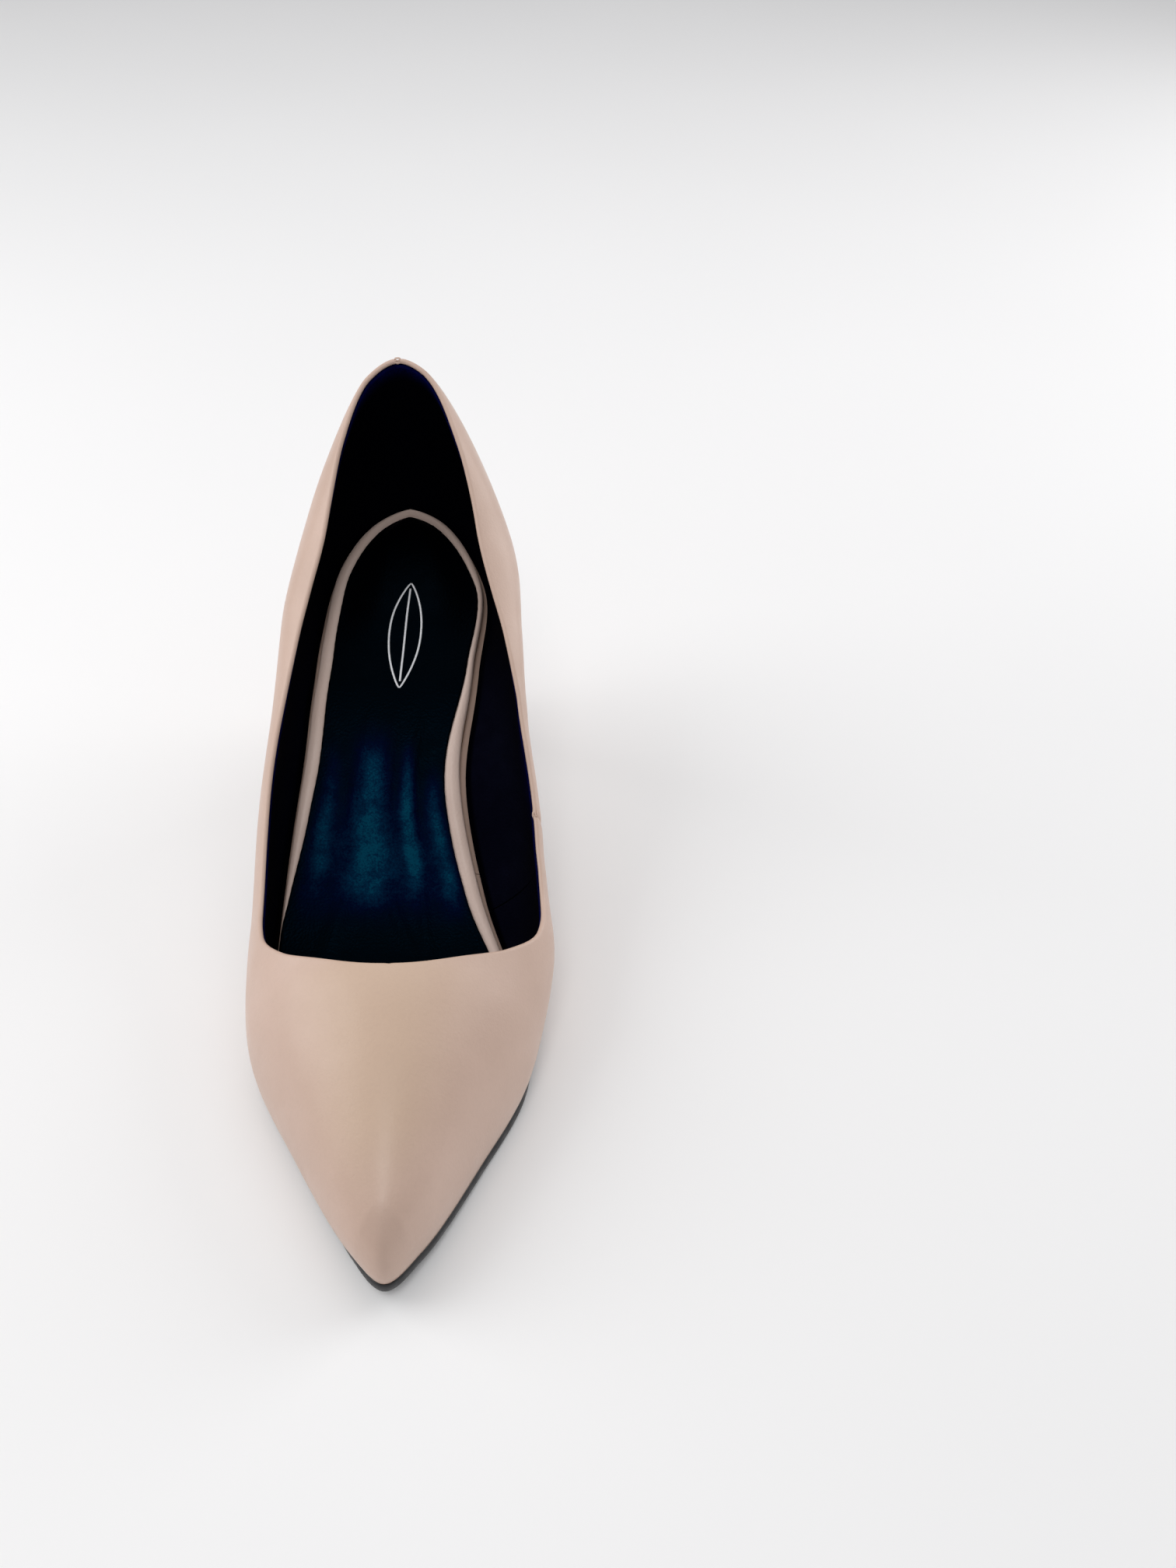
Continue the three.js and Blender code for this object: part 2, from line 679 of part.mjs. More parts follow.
const insoleHoles = [
  seatOnBed(bore(SCREW_RADIUS + FIT, -6, 9), ...screwSpot, 0),
  ...nailSpots.map((spot) => seatOnBed(bore(NAIL_RADIUS + FIT, -6, 9), ...spot, 0)),
  ...rivetSpots.map((spot) => seatOnBed(bore(1.4 + FIT, -3, 6), ...spot, 0)),
];
const headHoles = [
  seatOnBed(bore(4 + FIT, -1, 8), ...screwSpot, 0),
  ...nailSpots.map((spot) => seatOnBed(bore(2.2 + FIT, -1, 8), ...spot, 0)),
  ...rivetSpots.map((spot) => seatOnBed(bore(2.6 + FIT, -1, 8), ...spot, 0)),
];

addPart(bottomGroup, 'insole_board', drilled(crossSheet({
  list: STATIONS,
  inset: (y) => liningClear(y) + 0.3,
  top: (y) => over(y, INSOLE_HIGH),
  bottom: (y) => over(y, INSOLE_LOW),
}), insoleHoles), board);

addPart(bottomGroup, 'shank_board', drilled(crossSheet({
  list: stationsBetween(boardStart + 7, Y_BACK),
  inset: (y) => liningClear(y) + 1.2,
  top: (y) => over(y, HEAD_LEVEL + Math.max(0.2, SHANK_BOARD_THICKNESS * boardShare(y))),
  bottom: (y) => over(y, HEAD_LEVEL),
}), headHoles), board);

addPart(bottomGroup, 'insole_cover', crossSheet({
  list: STATIONS,
  inset: liningClear,
  top: (y) => over(y, coverHigh(y)),
  bottom: (y) => over(y, coverLow(y)),
}), coverNude);

// The black sock leaves a strip of the cover showing down both sides of the waist and heel.
const stripWidth = (y, side) => {
  return along(side === 'outer' ? STRIP_OUTER : STRIP_INNER, y);
};
const sockStart = -100 * ALONG;
const padShare = (y, w) => {
  const fore = smooth((y / ALONG + 90) / 14) * smooth((-22 - y / ALONG) / 16);
  const rear = smooth((y / ALONG - 60) / 14) * smooth((112 - y / ALONG) / 12);
  return (fore + rear) * smooth(w / 0.32) * smooth((1 - w) / 0.32);
};
const sockLow = (y, w) => coverHigh(y) + LAYER_GAP + PAD_RISE * padShare(y, w);
const sockBottom = (y, w) => over(y, sockLow(y, w));
const sockTop = (y, w) => over(y, sockLow(y, w) + SOCK_THICKNESS);
const sockInset = (y, side) => liningClear(y) + stripWidth(y, side);
const SOCK_ACROSS = 8;

addPart(bottomGroup, 'sock', crossSheet({
  list: stationsBetween(sockStart, Y_BACK),
  inset: sockInset,
  top: sockTop,
  bottom: sockBottom,
  across: SOCK_ACROSS,
}), black);

function foamPad(from, to) {
  return crossSheet({
    list: stationsBetween(from * ALONG, to * ALONG),
    inset: sockInset,
    top: (y, w) => over(y, coverHigh(y) + BOND_GAP + Math.max(0.15, PAD_RISE * padShare(y, w) - 0.2)),
    bottom: (y) => over(y, coverHigh(y) + BOND_GAP),
    across: SOCK_ACROSS - 2,
    span: [1 / SOCK_ACROSS, 1 - 1 / SOCK_ACROSS],
  });
}

addPart(bottomGroup, 'forefoot_pad', foamPad(-84, -31), foam);
addPart(bottomGroup, 'heel_pad', foamPad(66, 106), foam);

addPart(bottomGroup, 'bottom_filler', crossSheet({
  list: stationsBetween(-104 * ALONG, -18 * ALONG),
  inset: () => 1.2 * (MARGIN_WIDTH + FIT),
  top: (y) => over(y, MARGIN_THICKNESS),
  bottom: (y) => over(y, 0),
}), cork);

// ---------------------------------------------------------------- steel shank and its rivets

function shankStrip() {
  const corners = [];
  const from = -14 * ALONG;
  const to = 74 * ALONG;
  const steps = 18;
  const rings = [];
  for (let i = 0; i <= steps; i += 1) {
    const y = from + ((to - from) * i) / steps;
    const x = -3 * Math.sin((Math.PI * i) / steps) * ACROSS;
    const narrow = i === 0 || i === steps ? 0.7 : 1;
    const w = (SHANK_WIDTH / 2) * narrow;
    const z = over(y, -0.08);
    const top = over(y, SHANK_THICKNESS - 0.08);
    rings.push([
      new THREE.Vector3(x - w, y, z),
      new THREE.Vector3(x, y, z),
      new THREE.Vector3(x + w, y, z),
      new THREE.Vector3(x + w, y, top),
      new THREE.Vector3(x, y, top + 0.05),
      new THREE.Vector3(x - w, y, top),
    ]);
  }
  for (let k = 0; k < steps; k += 1) {
    for (let i = 0; i < 6; i += 1) {
      const j = (i + 1) % 6;
      addQuad(corners, rings[k][i], rings[k][j], rings[k + 1][j], rings[k + 1][i], false);
    }
  }
  [[rings[0], true], [rings[steps], false]].forEach(([ring, flip]) => {
    addQuad(corners, ring[0], ring[1], ring[4], ring[5], flip);
    addQuad(corners, ring[1], ring[2], ring[3], ring[4], flip);
  });
  return closedBody(corners);
}

addPart(bottomGroup, 'steel_shank', drilled(shankStrip(),
  rivetSpots.map((spot) => seatOnBed(bore(1.4 + FIT, -3, 6), ...spot, 0))), steel);

const rivetShape = turned([
  [0, 0.05], [1.4, 0.05], [1.4, HEAD_LEVEL], [2.6, HEAD_LEVEL], [2.6, HEAD_LEVEL + 0.4],
  [1.6, HEAD_LEVEL + 0.7], [0, HEAD_LEVEL + 0.7],
]);
addPart(bottomGroup, 'shank_rivet_front', seatOnBed(rivetShape, ...rivetSpots[0], 0), steel);
addPart(bottomGroup, 'shank_rivet_rear', seatOnBed(rivetShape, ...rivetSpots[1], 0), steel);

// ---------------------------------------------------------------- outsole

const soleThickness = (y) => {
  const back = smooth((y / ALONG + 38) / 46);
  const front = 0.4 * smooth((-75 - y / ALONG) / 25);
  return SOLE_FOREPART * (1 - back) + SOLE_WAIST * back - front;
};
const soleTop = (y) => over(y, -FIT);
const soleBottom = (y) => Math.max(0, over(y, -FIT - soleThickness(y)));
const soleInset = (y, side) => {
  const back = smooth((y / ALONG + 40) / 30);
  const tuck = side === 'outer' ? smooth((y / ALONG + 116) / 22) : 0;
  const fore = -SOLE_EDGE + (SOLE_TUCK + SOLE_EDGE) * tuck;
  return fore * (1 - back) + 0.7 * back;
};

addPart(bottomGroup, 'outsole', drilled(crossSheet({
  list: STATIONS,
  inset: soleInset,
  lowerInset: (y, side) => soleInset(y, side) + 0.7,
  top: soleTop,
  bottom: soleBottom,
}), [
  seatOnBed(bore(SCREW_RADIUS + FIT, -6, 3), ...screwSpot, 0),
  ...nailSpots.map((spot) => seatOnBed(bore(NAIL_RADIUS + FIT, -6, 3), ...spot, 0)),
]), soleBlack);

// ---------------------------------------------------------------- heel

const heelTopAt = (y) => soleBottom(y) - FIT;
const heelBase = TOP_PIECE_HEIGHT + FIT;
const HEEL_STEPS = 14;
const seatList = stationsBetween(BREAST_Y * ALONG, Y_BACK);

// Outline of the heel seat: outer side, back, inner side, then across the breast.
function seatOutline(inset) {
  const ring = [];
  const edge = (st, side) => footOf(st[side]).addScaledVector(edgeNormal(st[side]), -(1.1 + inset));
  for (let k = 0; k < seatList.length; k += 1) ring.push(edge(seatList[k], 'outer'));
  for (let k = seatList.length - 2; k >= 0; k -= 1) ring.push(edge(seatList[k], 'inner'));
  const a = ring[ring.length - 1];
  const b = ring[0];
  for (let i = 1; i < 8; i += 1) {
    const p = a.clone().lerp(b, i / 8);
    p.y -= 3.5 * Math.sin((Math.PI * i) / 8) - inset;
    ring.push(p);
  }
  return ring;
}

const seatFront = BREAST_Y * ALONG;
const seatBack = Y_BACK - 1.1;
const bend = (table, t) => profile(table, t) * ALONG;

// One ring of the heel wall at share t of its height, shrunk by inset.
function heelRing(outline, t, low, inset, lid) {
  const front = bend(HEEL_BREAST, t) + (seatFront - BREAST_Y * ALONG);
  const back = bend(HEEL_BACK, t);
  const width = profile(HEEL_WIDTH, t);
  return outline.map((p) => {
    const share = (p.y - seatFront) / (seatBack - seatFront);
    const middle = 0.5 * (front + back);
    const y = front + share * (back - front);
    const shrink = t < 1 ? inset * (1 - width) : 0;
    const x = p.x * width;
    const dx = x === 0 ? 0 : -Math.sign(x) * Math.min(Math.abs(x), shrink * Math.min(1, Math.abs(x) / 2));
    const dy = (middle - y) / Math.max(1, back - front) * 2 * shrink;
    const top = heelTopAt(p.y) - lid;
    return new THREE.Vector3(x + dx, y + dy, low + t * (top - low));
  });
}

function heelRings(inset, low, lid) {
  const outline = seatOutline(inset);
  const rings = [];
  for (let k = 0; k <= HEEL_STEPS; k += 1) {
    const t = k / HEEL_STEPS;
    rings.push(heelRing(outline, t, low, inset, lid));
  }
  return rings;
}

function skinBetween(corners, rings, flip) {
  const count = rings[0].length;
  for (let k = 0; k < rings.length - 1; k += 1) {
    for (let i = 0; i < count; i += 1) {
      const j = (i + 1) % count;
      addQuad(corners, rings[k][i], rings[k][j], rings[k + 1][j], rings[k + 1][i], flip);
    }
  }
}

// Closes a ring with strips between its outer and inner halves, then a fan over the breast.
function lidOver(corners, ring, flip) {
  const stations = seatList.length - 1;
  const outerAt = (k) => ring[k];
  const innerAt = (k) => ring[2 * stations - k];
  for (let k = 0; k < stations; k += 1) {
    addQuad(corners, outerAt(k), innerAt(k), innerAt(k + 1), outerAt(k + 1), flip);
  }
  const breast = ring.slice(2 * stations).concat([ring[0]]);
  for (let i = 1; i < breast.length - 1; i += 1) {
    if (flip) corners.push(breast[0], breast[i], breast[i + 1]);
    else corners.push(breast[0], breast[i + 1], breast[i]);
  }
}

function heelBlock() {
  const rings = heelRings(HEEL_SKIN + 0.2, heelBase, 0);
  const corners = [];
  skinBetween(corners, rings, true);
  lidOver(corners, rings[0], true);
  lidOver(corners, rings[HEEL_STEPS], false);
  return closedBody(corners);
}

function heelWrap() {
  const outside = heelRings(0, heelBase, 0.05);
  const inside = heelRings(HEEL_SKIN, heelBase, 0.05);
  const corners = [];
  skinBetween(corners, outside, false);
  skinBetween(corners, inside, true);
  const count = outside[0].length;
  for (let i = 0; i < count; i += 1) {
    const j = (i + 1) % count;
    addQuad(corners, outside[0][j], outside[0][i], inside[0][i], inside[0][j], false);
    const top = HEEL_STEPS;
    addQuad(corners, outside[top][i], outside[top][j], inside[top][j], inside[top][i], false);
  }
  return closedBody(corners);
}

const tipCentreY = 0.5 * (bend(HEEL_BACK, 0) + bend(HEEL_BREAST, 0));

addPart(heelGroup, 'heel_core', drilled(heelBlock(), [
  standUpright(bore(DOWEL_RADIUS + FIT, 0, DOWEL_TOP + 1 - 0), 0, tipCentreY, 0),
  seatOnBed(bore(SCREW_RADIUS + FIT, -25, 3), ...screwSpot, 0),
  ...nailSpots.map((spot) => seatOnBed(bore(NAIL_RADIUS + FIT, -15, 3), ...spot, 0)),
]), plastic);

addPart(heelGroup, 'heel_cover', heelWrap(), nude);

const dowelShape = turned([
  [DOWEL_BORE, heelBase + 0.2], [DOWEL_RADIUS, heelBase + 0.2], [DOWEL_RADIUS, DOWEL_TOP],
  [DOWEL_BORE, DOWEL_TOP], [DOWEL_BORE, heelBase + 0.2],
]);
addPart(heelGroup, 'heel_dowel', standUpright(dowelShape, 0, tipCentreY, 0), steel);

const PIN_BOTTOM = 1.8;
const pinShape = turned([
  [0, PIN_BOTTOM], [PIN_RADIUS - 0.2, PIN_BOTTOM], [PIN_RADIUS, PIN_BOTTOM + 0.4],
  [PIN_RADIUS, 20], [PIN_RADIUS - 0.4, 21.5], [0, 21.5],
]);
addPart(heelGroup, 'top_piece_pin', standUpright(pinShape, 0, tipCentreY, 0), steel);

function topPiece() {
  const outline = heelRing(seatOutline(0), 0, 0, 0, 0);
  const centre = new THREE.Vector3(0, tipCentreY, 0);
  const at = (z, grow) => outline.map((p) => {
    const q = new THREE.Vector3(p.x, p.y, 0).sub(centre).multiplyScalar(grow).add(centre);
    q.z = z;
    return q;
  });
  const rings = [at(0, 0.97), at(0.5, 1.02), at(TOP_PIECE_HEIGHT - 0.5, 1.04), at(TOP_PIECE_HEIGHT, 1.02)];
  const corners = [];
  skinBetween(corners, rings, true);
  lidOver(corners, rings[0], true);
  lidOver(corners, rings[3], false);
  return closedBody(corners);
}

addPart(heelGroup, 'top_piece', drilled(topPiece(),
  [standUpright(bore(PIN_RADIUS + FIT, PIN_BOTTOM - FIT, 9), 0, tipCentreY, 0)]), rubberBlack);

// ---------------------------------------------------------------- heel fixings

const screwShape = turned([
  [0, -22], [0.6, -21.4], [SCREW_RADIUS, -18], [SCREW_RADIUS, HEAD_LEVEL],
  [4, HEAD_LEVEL + 0.3], [4, HEAD_LEVEL + 0.7], [0.8, HEAD_LEVEL + 0.7], [0, HEAD_LEVEL + 0.4],
]);
addPart(heelGroup, 'heel_screw', seatOnBed(screwShape, ...screwSpot, 0), steel);

const nailShape = turned([
  [0, -12.5], [0.3, -12], [NAIL_RADIUS, -9], [NAIL_RADIUS, HEAD_LEVEL],
  [2.2, HEAD_LEVEL], [2.2, HEAD_LEVEL + 0.35], [1.4, HEAD_LEVEL + 0.65], [0, HEAD_LEVEL + 0.65],
], 14);
nailSpots.forEach((spot, i) => {
  addPart(heelGroup, `heel_nail_${i + 1}`, seatOnBed(nailShape, ...spot, 0), steel);
});

// ---------------------------------------------------------------- foil mark on the sock

// A plain leaf-shaped outline with a midrib, stamped in foil on the heel seat of the sock.
const MARK_Y = 66.5;
const MARK_LENGTH = 31.5;
const MARK_WIDTH = 9.5;
const MARK_LEAN = 0.1;            // sideways run of the mark per unit of its length
const MARK_LINE = 0.9;

function foilMark() {
  const steps = 20;
  const sockLine = stationsBetween(sockStart, Y_BACK);
  const heightAt = (x, y) => {
    let k = 0;
    while (k < sockLine.length - 2 && sockLine[k + 1].y < y) k += 1;
    const st = sockLine[k];
    const next = sockLine[k + 1];
    const t = (y - st.y) / (next.y - st.y);
    const left = footOf(st.outer).x * (1 - t) + footOf(next.outer).x * t + sockInset(y, 'outer');
    const right = footOf(st.inner).x * (1 - t) + footOf(next.inner).x * t - sockInset(y, 'inner');
    return sockTop(y, (x - left) / (right - left)) + 0.2;
  };
  const band = (low, high) => {
    const corners = [];
    const rings = [];
    for (let i = 0; i <= steps; i += 1) {
      const a = i / steps;
      const y = (MARK_Y + (a - 0.5) * MARK_LENGTH) * ALONG;
      const lean = (a - 0.5) * MARK_LENGTH * MARK_LEAN;
      const ring = [[low(a), 0], [high(a), 0], [high(a), 0.15], [low(a), 0.15]].map(([x, h]) => (
        new THREE.Vector3(x + lean, y, heightAt(x + lean, y) + h)));
      rings.push(ring);
    }
    skinBetween(corners, rings, false);
    const tail = rings[steps];
    const head = rings[0];
    addQuad(corners, head[3], head[2], head[1], head[0], false);
    addQuad(corners, tail[0], tail[1], tail[2], tail[3], false);
    return toSolid(closedBody(corners));
  };
  const leaf = (a, shift) => (MARK_WIDTH / 2) * Math.sin(Math.PI * a) ** 0.8 + shift;
  const left = band((a) => -leaf(a, MARK_LINE / 2), (a) => -leaf(a, -MARK_LINE / 2));
  const right = band((a) => leaf(a, -MARK_LINE / 2), (a) => leaf(a, MARK_LINE / 2));
  const rib = band(() => -MARK_LINE / 2, () => MARK_LINE / 2);
  return fromSolid(left.add(right).add(rib));
}

addPart(bottomGroup, 'sock_mark', foilMark(), foil);

// The origin is on the ground, at the middle of the shoe's outline seen from above.
const bounds = new THREE.Box3().setFromObject(group);
const middle = bounds.getCenter(new THREE.Vector3());
group.position.set(-middle.x, -middle.y, -bounds.min.z);

export default group;
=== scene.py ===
"""Looks of a right-foot court shoe (pump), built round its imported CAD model.

Shapes are worked out in millimetres from the same last curves as the CAD and written in metres.
+Z is up, the toe points to -Y, the inner side of the foot is +X.
"""

import math

import bmesh
import bpy
import numpy as np
from mathutils import Matrix, Vector


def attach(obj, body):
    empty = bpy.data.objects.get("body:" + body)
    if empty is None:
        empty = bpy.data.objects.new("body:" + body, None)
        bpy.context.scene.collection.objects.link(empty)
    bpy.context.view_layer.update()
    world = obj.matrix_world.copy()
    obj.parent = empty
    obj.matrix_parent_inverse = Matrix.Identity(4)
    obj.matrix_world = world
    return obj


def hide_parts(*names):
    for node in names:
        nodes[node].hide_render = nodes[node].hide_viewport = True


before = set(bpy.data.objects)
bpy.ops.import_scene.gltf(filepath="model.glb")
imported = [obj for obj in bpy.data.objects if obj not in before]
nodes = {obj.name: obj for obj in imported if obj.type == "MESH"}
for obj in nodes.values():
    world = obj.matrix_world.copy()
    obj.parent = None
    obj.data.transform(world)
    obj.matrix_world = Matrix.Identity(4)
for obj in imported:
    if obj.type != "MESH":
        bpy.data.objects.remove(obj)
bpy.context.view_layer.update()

# ---------------------------------------------------------------- sizes, as in the CAD

HEEL_RISE = 70.5
UPPER = 1.1                      # thickness of the upper
LINING = 0.8
STIFF = 0.8
LINING_DEPTH = 1.65
MARGIN = 0.9                     # thickness of the turned-in lasting margin
MARGIN_WIDTH = 9
INSOLE_LOW = 1.1
INSOLE_HIGH = 2.3
COVER = 0.5
SOCK = 0.8
PAD_RISE = 1.6
SOLE_FOREPART = 3.8
SOLE_WAIST = 2.2
SOLE_EDGE = 0.4
SOLE_TUCK = 0.8
FIT = 0.3
BALL_LEVEL = 4.0
BREAST_Y = 64.0
TOP_PIECE = 5.2
THROAT_Y = -49.5
SIDE_SEAM_Y = 8.0
LINING_SEAM_Y = -2.0
GRIP_SEAM_Y = 84.0
HEEL_FAN = 27.0
TOE_FAN = 13.0
Y_TOE = -117.5
Y_BACK = 117.0
SHIFT = (-0.65591, -0.58038, 0.0)   # the CAD's origin is at the middle of the finished shoe
FOLD = 0.72                         # radius of the folded topline edge

BOTTOM_EDGE = np.array([
    [0, 117], [-12.5, 110.5], [-23.5, 92], [-28, 68], [-31, 38], [-36.5, 5], [-39, -28],
    [-36.5, -54], [-23, -83], [-8.5, -108.5], [0, -117.5], [8.5, -108.5], [22.5, -83], [34.5, -57],
    [35.5, -30], [24.5, 2], [19, 30], [24, 58], [26.5, 84], [13.5, 110.5],
], float)
RISE = [
    (-119, 0.066), (-100, 0.028), (-75, 0.004), (-60, 0), (-45, 0.003), (-20, 0.046),
    (5, 0.206), (30, 0.461), (55, 0.695), (80, 0.851), (100, 0.943), (118, 1),
]
CREST = [
    (-107, 19.5), (-90, 29.5), (-70, 38), (-50, 42.5), (-40, 43), (-20, 45), (10, 40.5),
    (50, 35.5), (90, 59), (118, 96.5),
]
TOPLINE = [
    (-49.5, 43), (-44.5, 39.5), (-37.5, 33.5), (-27.5, 28), (0, 25), (25, 24), (50, 26),
    (75, 36.5), (95, 49.5), (110, 59.5), (118, 64.5),
]
SPREAD_OUTER = [
    (-118, 3), (-85, 6), (-50, 9), (-20, 11.5), (20, 19.5), (60, 21.5), (90, 13.5), (110, 7.5),
    (118, 6),
]
SPREAD_INNER = [
    (-118, 1), (-85, 3), (-50, 10), (-20, 27), (20, 44), (60, 30), (90, 17), (110, 10), (118, 7),
]
LIFT = [
    (-118, 6.5), (-85, 12.5), (-50, 17.5), (-20, 26), (20, 25), (60, 25.5), (90, 23), (118, 26.5),
]
CROWN = [
    (-118, 6.5), (-90, 16), (-60, 25.5), (-40, 29), (-10, 25), (20, 21), (60, 13.5), (90, 15),
    (118, 25),
]
STRIP_OUTER = [
    (-30, 0.3), (-10, 0.4), (0, 1.4), (10, 2.7), (21, 3.7), (33, 4.2), (57, 3.9), (80, 3.7), (118, 3.9),
]
STRIP_INNER = [
    (-70, 0.3), (-40, 1.2), (-15, 3.2), (0, 4.3), (21, 4.7), (33, 4.1), (44, 2.9), (57, 1.8), (72, 1.4),
    (90, 2.4), (118, 3.9),
]
HEEL_BACK = [(0, 109.5), (0.3, 108), (0.6, 108.8), (0.85, 113), (1, 116)]
HEEL_BREAST = [(0, 97.2), (0.3, 96.6), (0.6, 93.5), (0.8, 87), (0.92, 77.5), (1, BREAST_Y)]
HEEL_WIDTH = [(0, 0.225), (0.3, 0.22), (0.6, 0.34), (0.82, 0.62), (0.94, 0.88), (1, 1)]

# ---------------------------------------------------------------- curves


def profile(table, at):
    """Smooth curve through a table of points that never overshoots them."""
    rows = np.asarray(table, float)
    xs, ys = rows[:, 0], rows[:, 1]
    width = np.diff(xs)
    slope = np.diff(ys) / width
    tangent = np.zeros(len(xs))
    tangent[0], tangent[-1] = slope[0], slope[-1]
    for i in range(1, len(xs) - 1):
        if slope[i - 1] * slope[i] > 0:
            tangent[i] = 3 * (width[i - 1] + width[i]) / (
                (2 * width[i] + width[i - 1]) / slope[i - 1] + (width[i] + 2 * width[i - 1]) / slope[i])
    at = np.asarray(at, float)
    inside = np.clip(at, xs[0], xs[-1])
    k = np.clip(np.searchsorted(xs, inside, side="right") - 1, 0, len(xs) - 2)
    t = (inside - xs[k]) / width[k]
    value = (ys[k] * (1 + 2 * t) * (1 - t) ** 2 + tangent[k] * width[k] * t * (1 - t) ** 2
             + ys[k + 1] * t * t * (3 - 2 * t) + tangent[k + 1] * width[k] * t * t * (t - 1))
    value = value + np.where(at < xs[0], (at - xs[0]) * tangent[0], 0)
    return value + np.where(at > xs[-1], (at - xs[-1]) * tangent[-1], 0)


def smooth(x):
    t = np.clip(x, 0, 1)
    return t * t * (3 - 2 * t)


def soft_above(d, r):
    return 0.5 * (d + np.sqrt(d * d + r * r))


def unit(v):
    return v / np.maximum(np.linalg.norm(v, axis=-1, keepdims=True), 1e-12)


def foot(s):
    """The bottom edge of the upper at place s, seen from above."""
    s = np.asarray(s, float)
    count = len(BOTTOM_EDGE)
    i = np.floor(s).astype(int)
    t = (s - i)[..., None]
    p0, p1, p2, p3 = (BOTTOM_EDGE[(i + k) % count] for k in (-1, 0, 1, 2))
    d0, d1, d2 = (np.sqrt(np.linalg.norm(b - a, axis=-1))[..., None]
                  for a, b in ((p0, p1), (p1, p2), (p2, p3)))
    m1 = ((p1 - p0) / d0 - (p2 - p0) / (d0 + d1) + (p2 - p1) / d1) * d1
    m2 = ((p2 - p1) / d1 - (p3 - p1) / (d1 + d2) + (p3 - p2) / d2) * d1
    return ((2 * t ** 3 - 3 * t ** 2 + 1) * p1 + (t ** 3 - 2 * t ** 2 + t) * m1
            + (-2 * t ** 3 + 3 * t ** 2) * p2 + (t ** 3 - t ** 2) * m2)


def bed(y):
    return BALL_LEVEL + HEEL_RISE * profile(RISE, y)


def slope_of_bed(y):
    return bed(np.asarray(y) + 0.5) - bed(np.asarray(y) - 0.5)


def over(y, h):
    """Height of a layer that lies h over the bed, measured square to the bed's slope."""
    return bed(y) + h * np.hypot(1, slope_of_bed(y))


def crest(y):
    return bed(y) + profile(CREST, y)


def stiffened(y):
    return np.maximum(smooth((-78 - y) / 15), smooth((y - 44) / 16))


def wall_line(s):
    """Control points of the wall lines that rise from places s."""
    f = foot(s)
    x, y = f[..., 0], f[..., 1]
    spine = y - soft_above(y - (Y_BACK - HEEL_FAN), 4) + soft_above(Y_TOE + TOE_FAN - y, 3)
    out = np.stack([x, y - spine], -1)
    reach = np.linalg.norm(out, axis=-1)
    out = out / reach[..., None]
    inner = 1 / (1 + np.exp(-x / 2))
    spread = profile(SPREAD_OUTER, y) * (1 - inner) + profile(SPREAD_INNER, y) * inner
    crown = np.minimum(profile(CROWN, y), 0.9 * reach)
    slope = crest(spine + 0.5) - crest(spine - 0.5)
    start = np.stack([x, y, bed(y)], -1)
    end = np.stack([0 * x, spine, crest(spine)], -1)
    low = start + np.stack([out[..., 0] * spread, out[..., 1] * spread, profile(LIFT, y)], -1)
    high = end + np.stack([out[..., 0] * crown, out[..., 1] * crown, crown * out[..., 1] * slope], -1)
    up = unit(np.stack([0 * x, -slope, 0 * x + 1], -1))
    return start, low, high, end, up


def on_line(line, v):
    v = np.asarray(v)[..., None]
    w = 1 - v
    return w ** 3 * line[0] + 3 * w * w * v * line[1] + 3 * w * v * v * line[2] + v ** 3 * line[3]


def wall(s, v):
    """Points and outward normals of the last at places s and heights v."""
    s = np.asarray(s, float)
    v = np.asarray(v, float)
    line = wall_line(s)
    p = on_line(line, v)
    sideways = on_line(wall_line(s + 0.01), v) - on_line(wall_line(s - 0.01), v)
    upward = on_line(line, np.minimum(1, v + 0.004)) - on_line(line, np.maximum(0, v - 0.004))
    n = unit(np.cross(sideways, upward))
    n = np.where((v < 0.9995)[..., None], n, line[4])
    return p, n


def topline_share(s, drop=0.0, ahead=0.0):
    """How far up its wall line the topline lies; 1 where the vamp closes over the foot."""
    line = wall_line(s)

    def excess(v):
        p = on_line(line, v)
        e = p[..., 2] - bed(p[..., 1]) - profile(TOPLINE, p[..., 1]) + drop
        return np.where(p[..., 1] < THROAT_Y - ahead, -1, e)

    low = np.full(np.shape(s), 0.02)
    found = np.zeros(np.shape(s), bool)
    for v in np.arange(0.03, 1.0, 0.01):
        now = ~found & (excess(np.full(np.shape(s), v)) > 0)
        low = np.where(now, v - 0.01, low)
        found |= now
    high = low + 0.01
    for _ in range(26):
        middle = 0.5 * (low + high)
        over_it = excess(middle) > 0
        high = np.where(over_it, middle, high)
        low = np.where(over_it, low, middle)
    return np.where(found, high, 1.0)


_fine = {"outer": np.linspace(10, 0, 6001), "inner": np.linspace(10, 20, 6001)}
_fine_y = {side: foot(s)[:, 1] for side, s in _fine.items()}


def place_at(side, y):
    return np.interp(y, _fine_y[side], _fine[side])


def edge_normal(s):
    run = foot(np.asarray(s) + 0.01) - foot(np.asarray(s) - 0.01)
    return unit(np.stack([run[..., 1], -run[..., 0]], -1))


# ---------------------------------------------------------------- mesh helpers

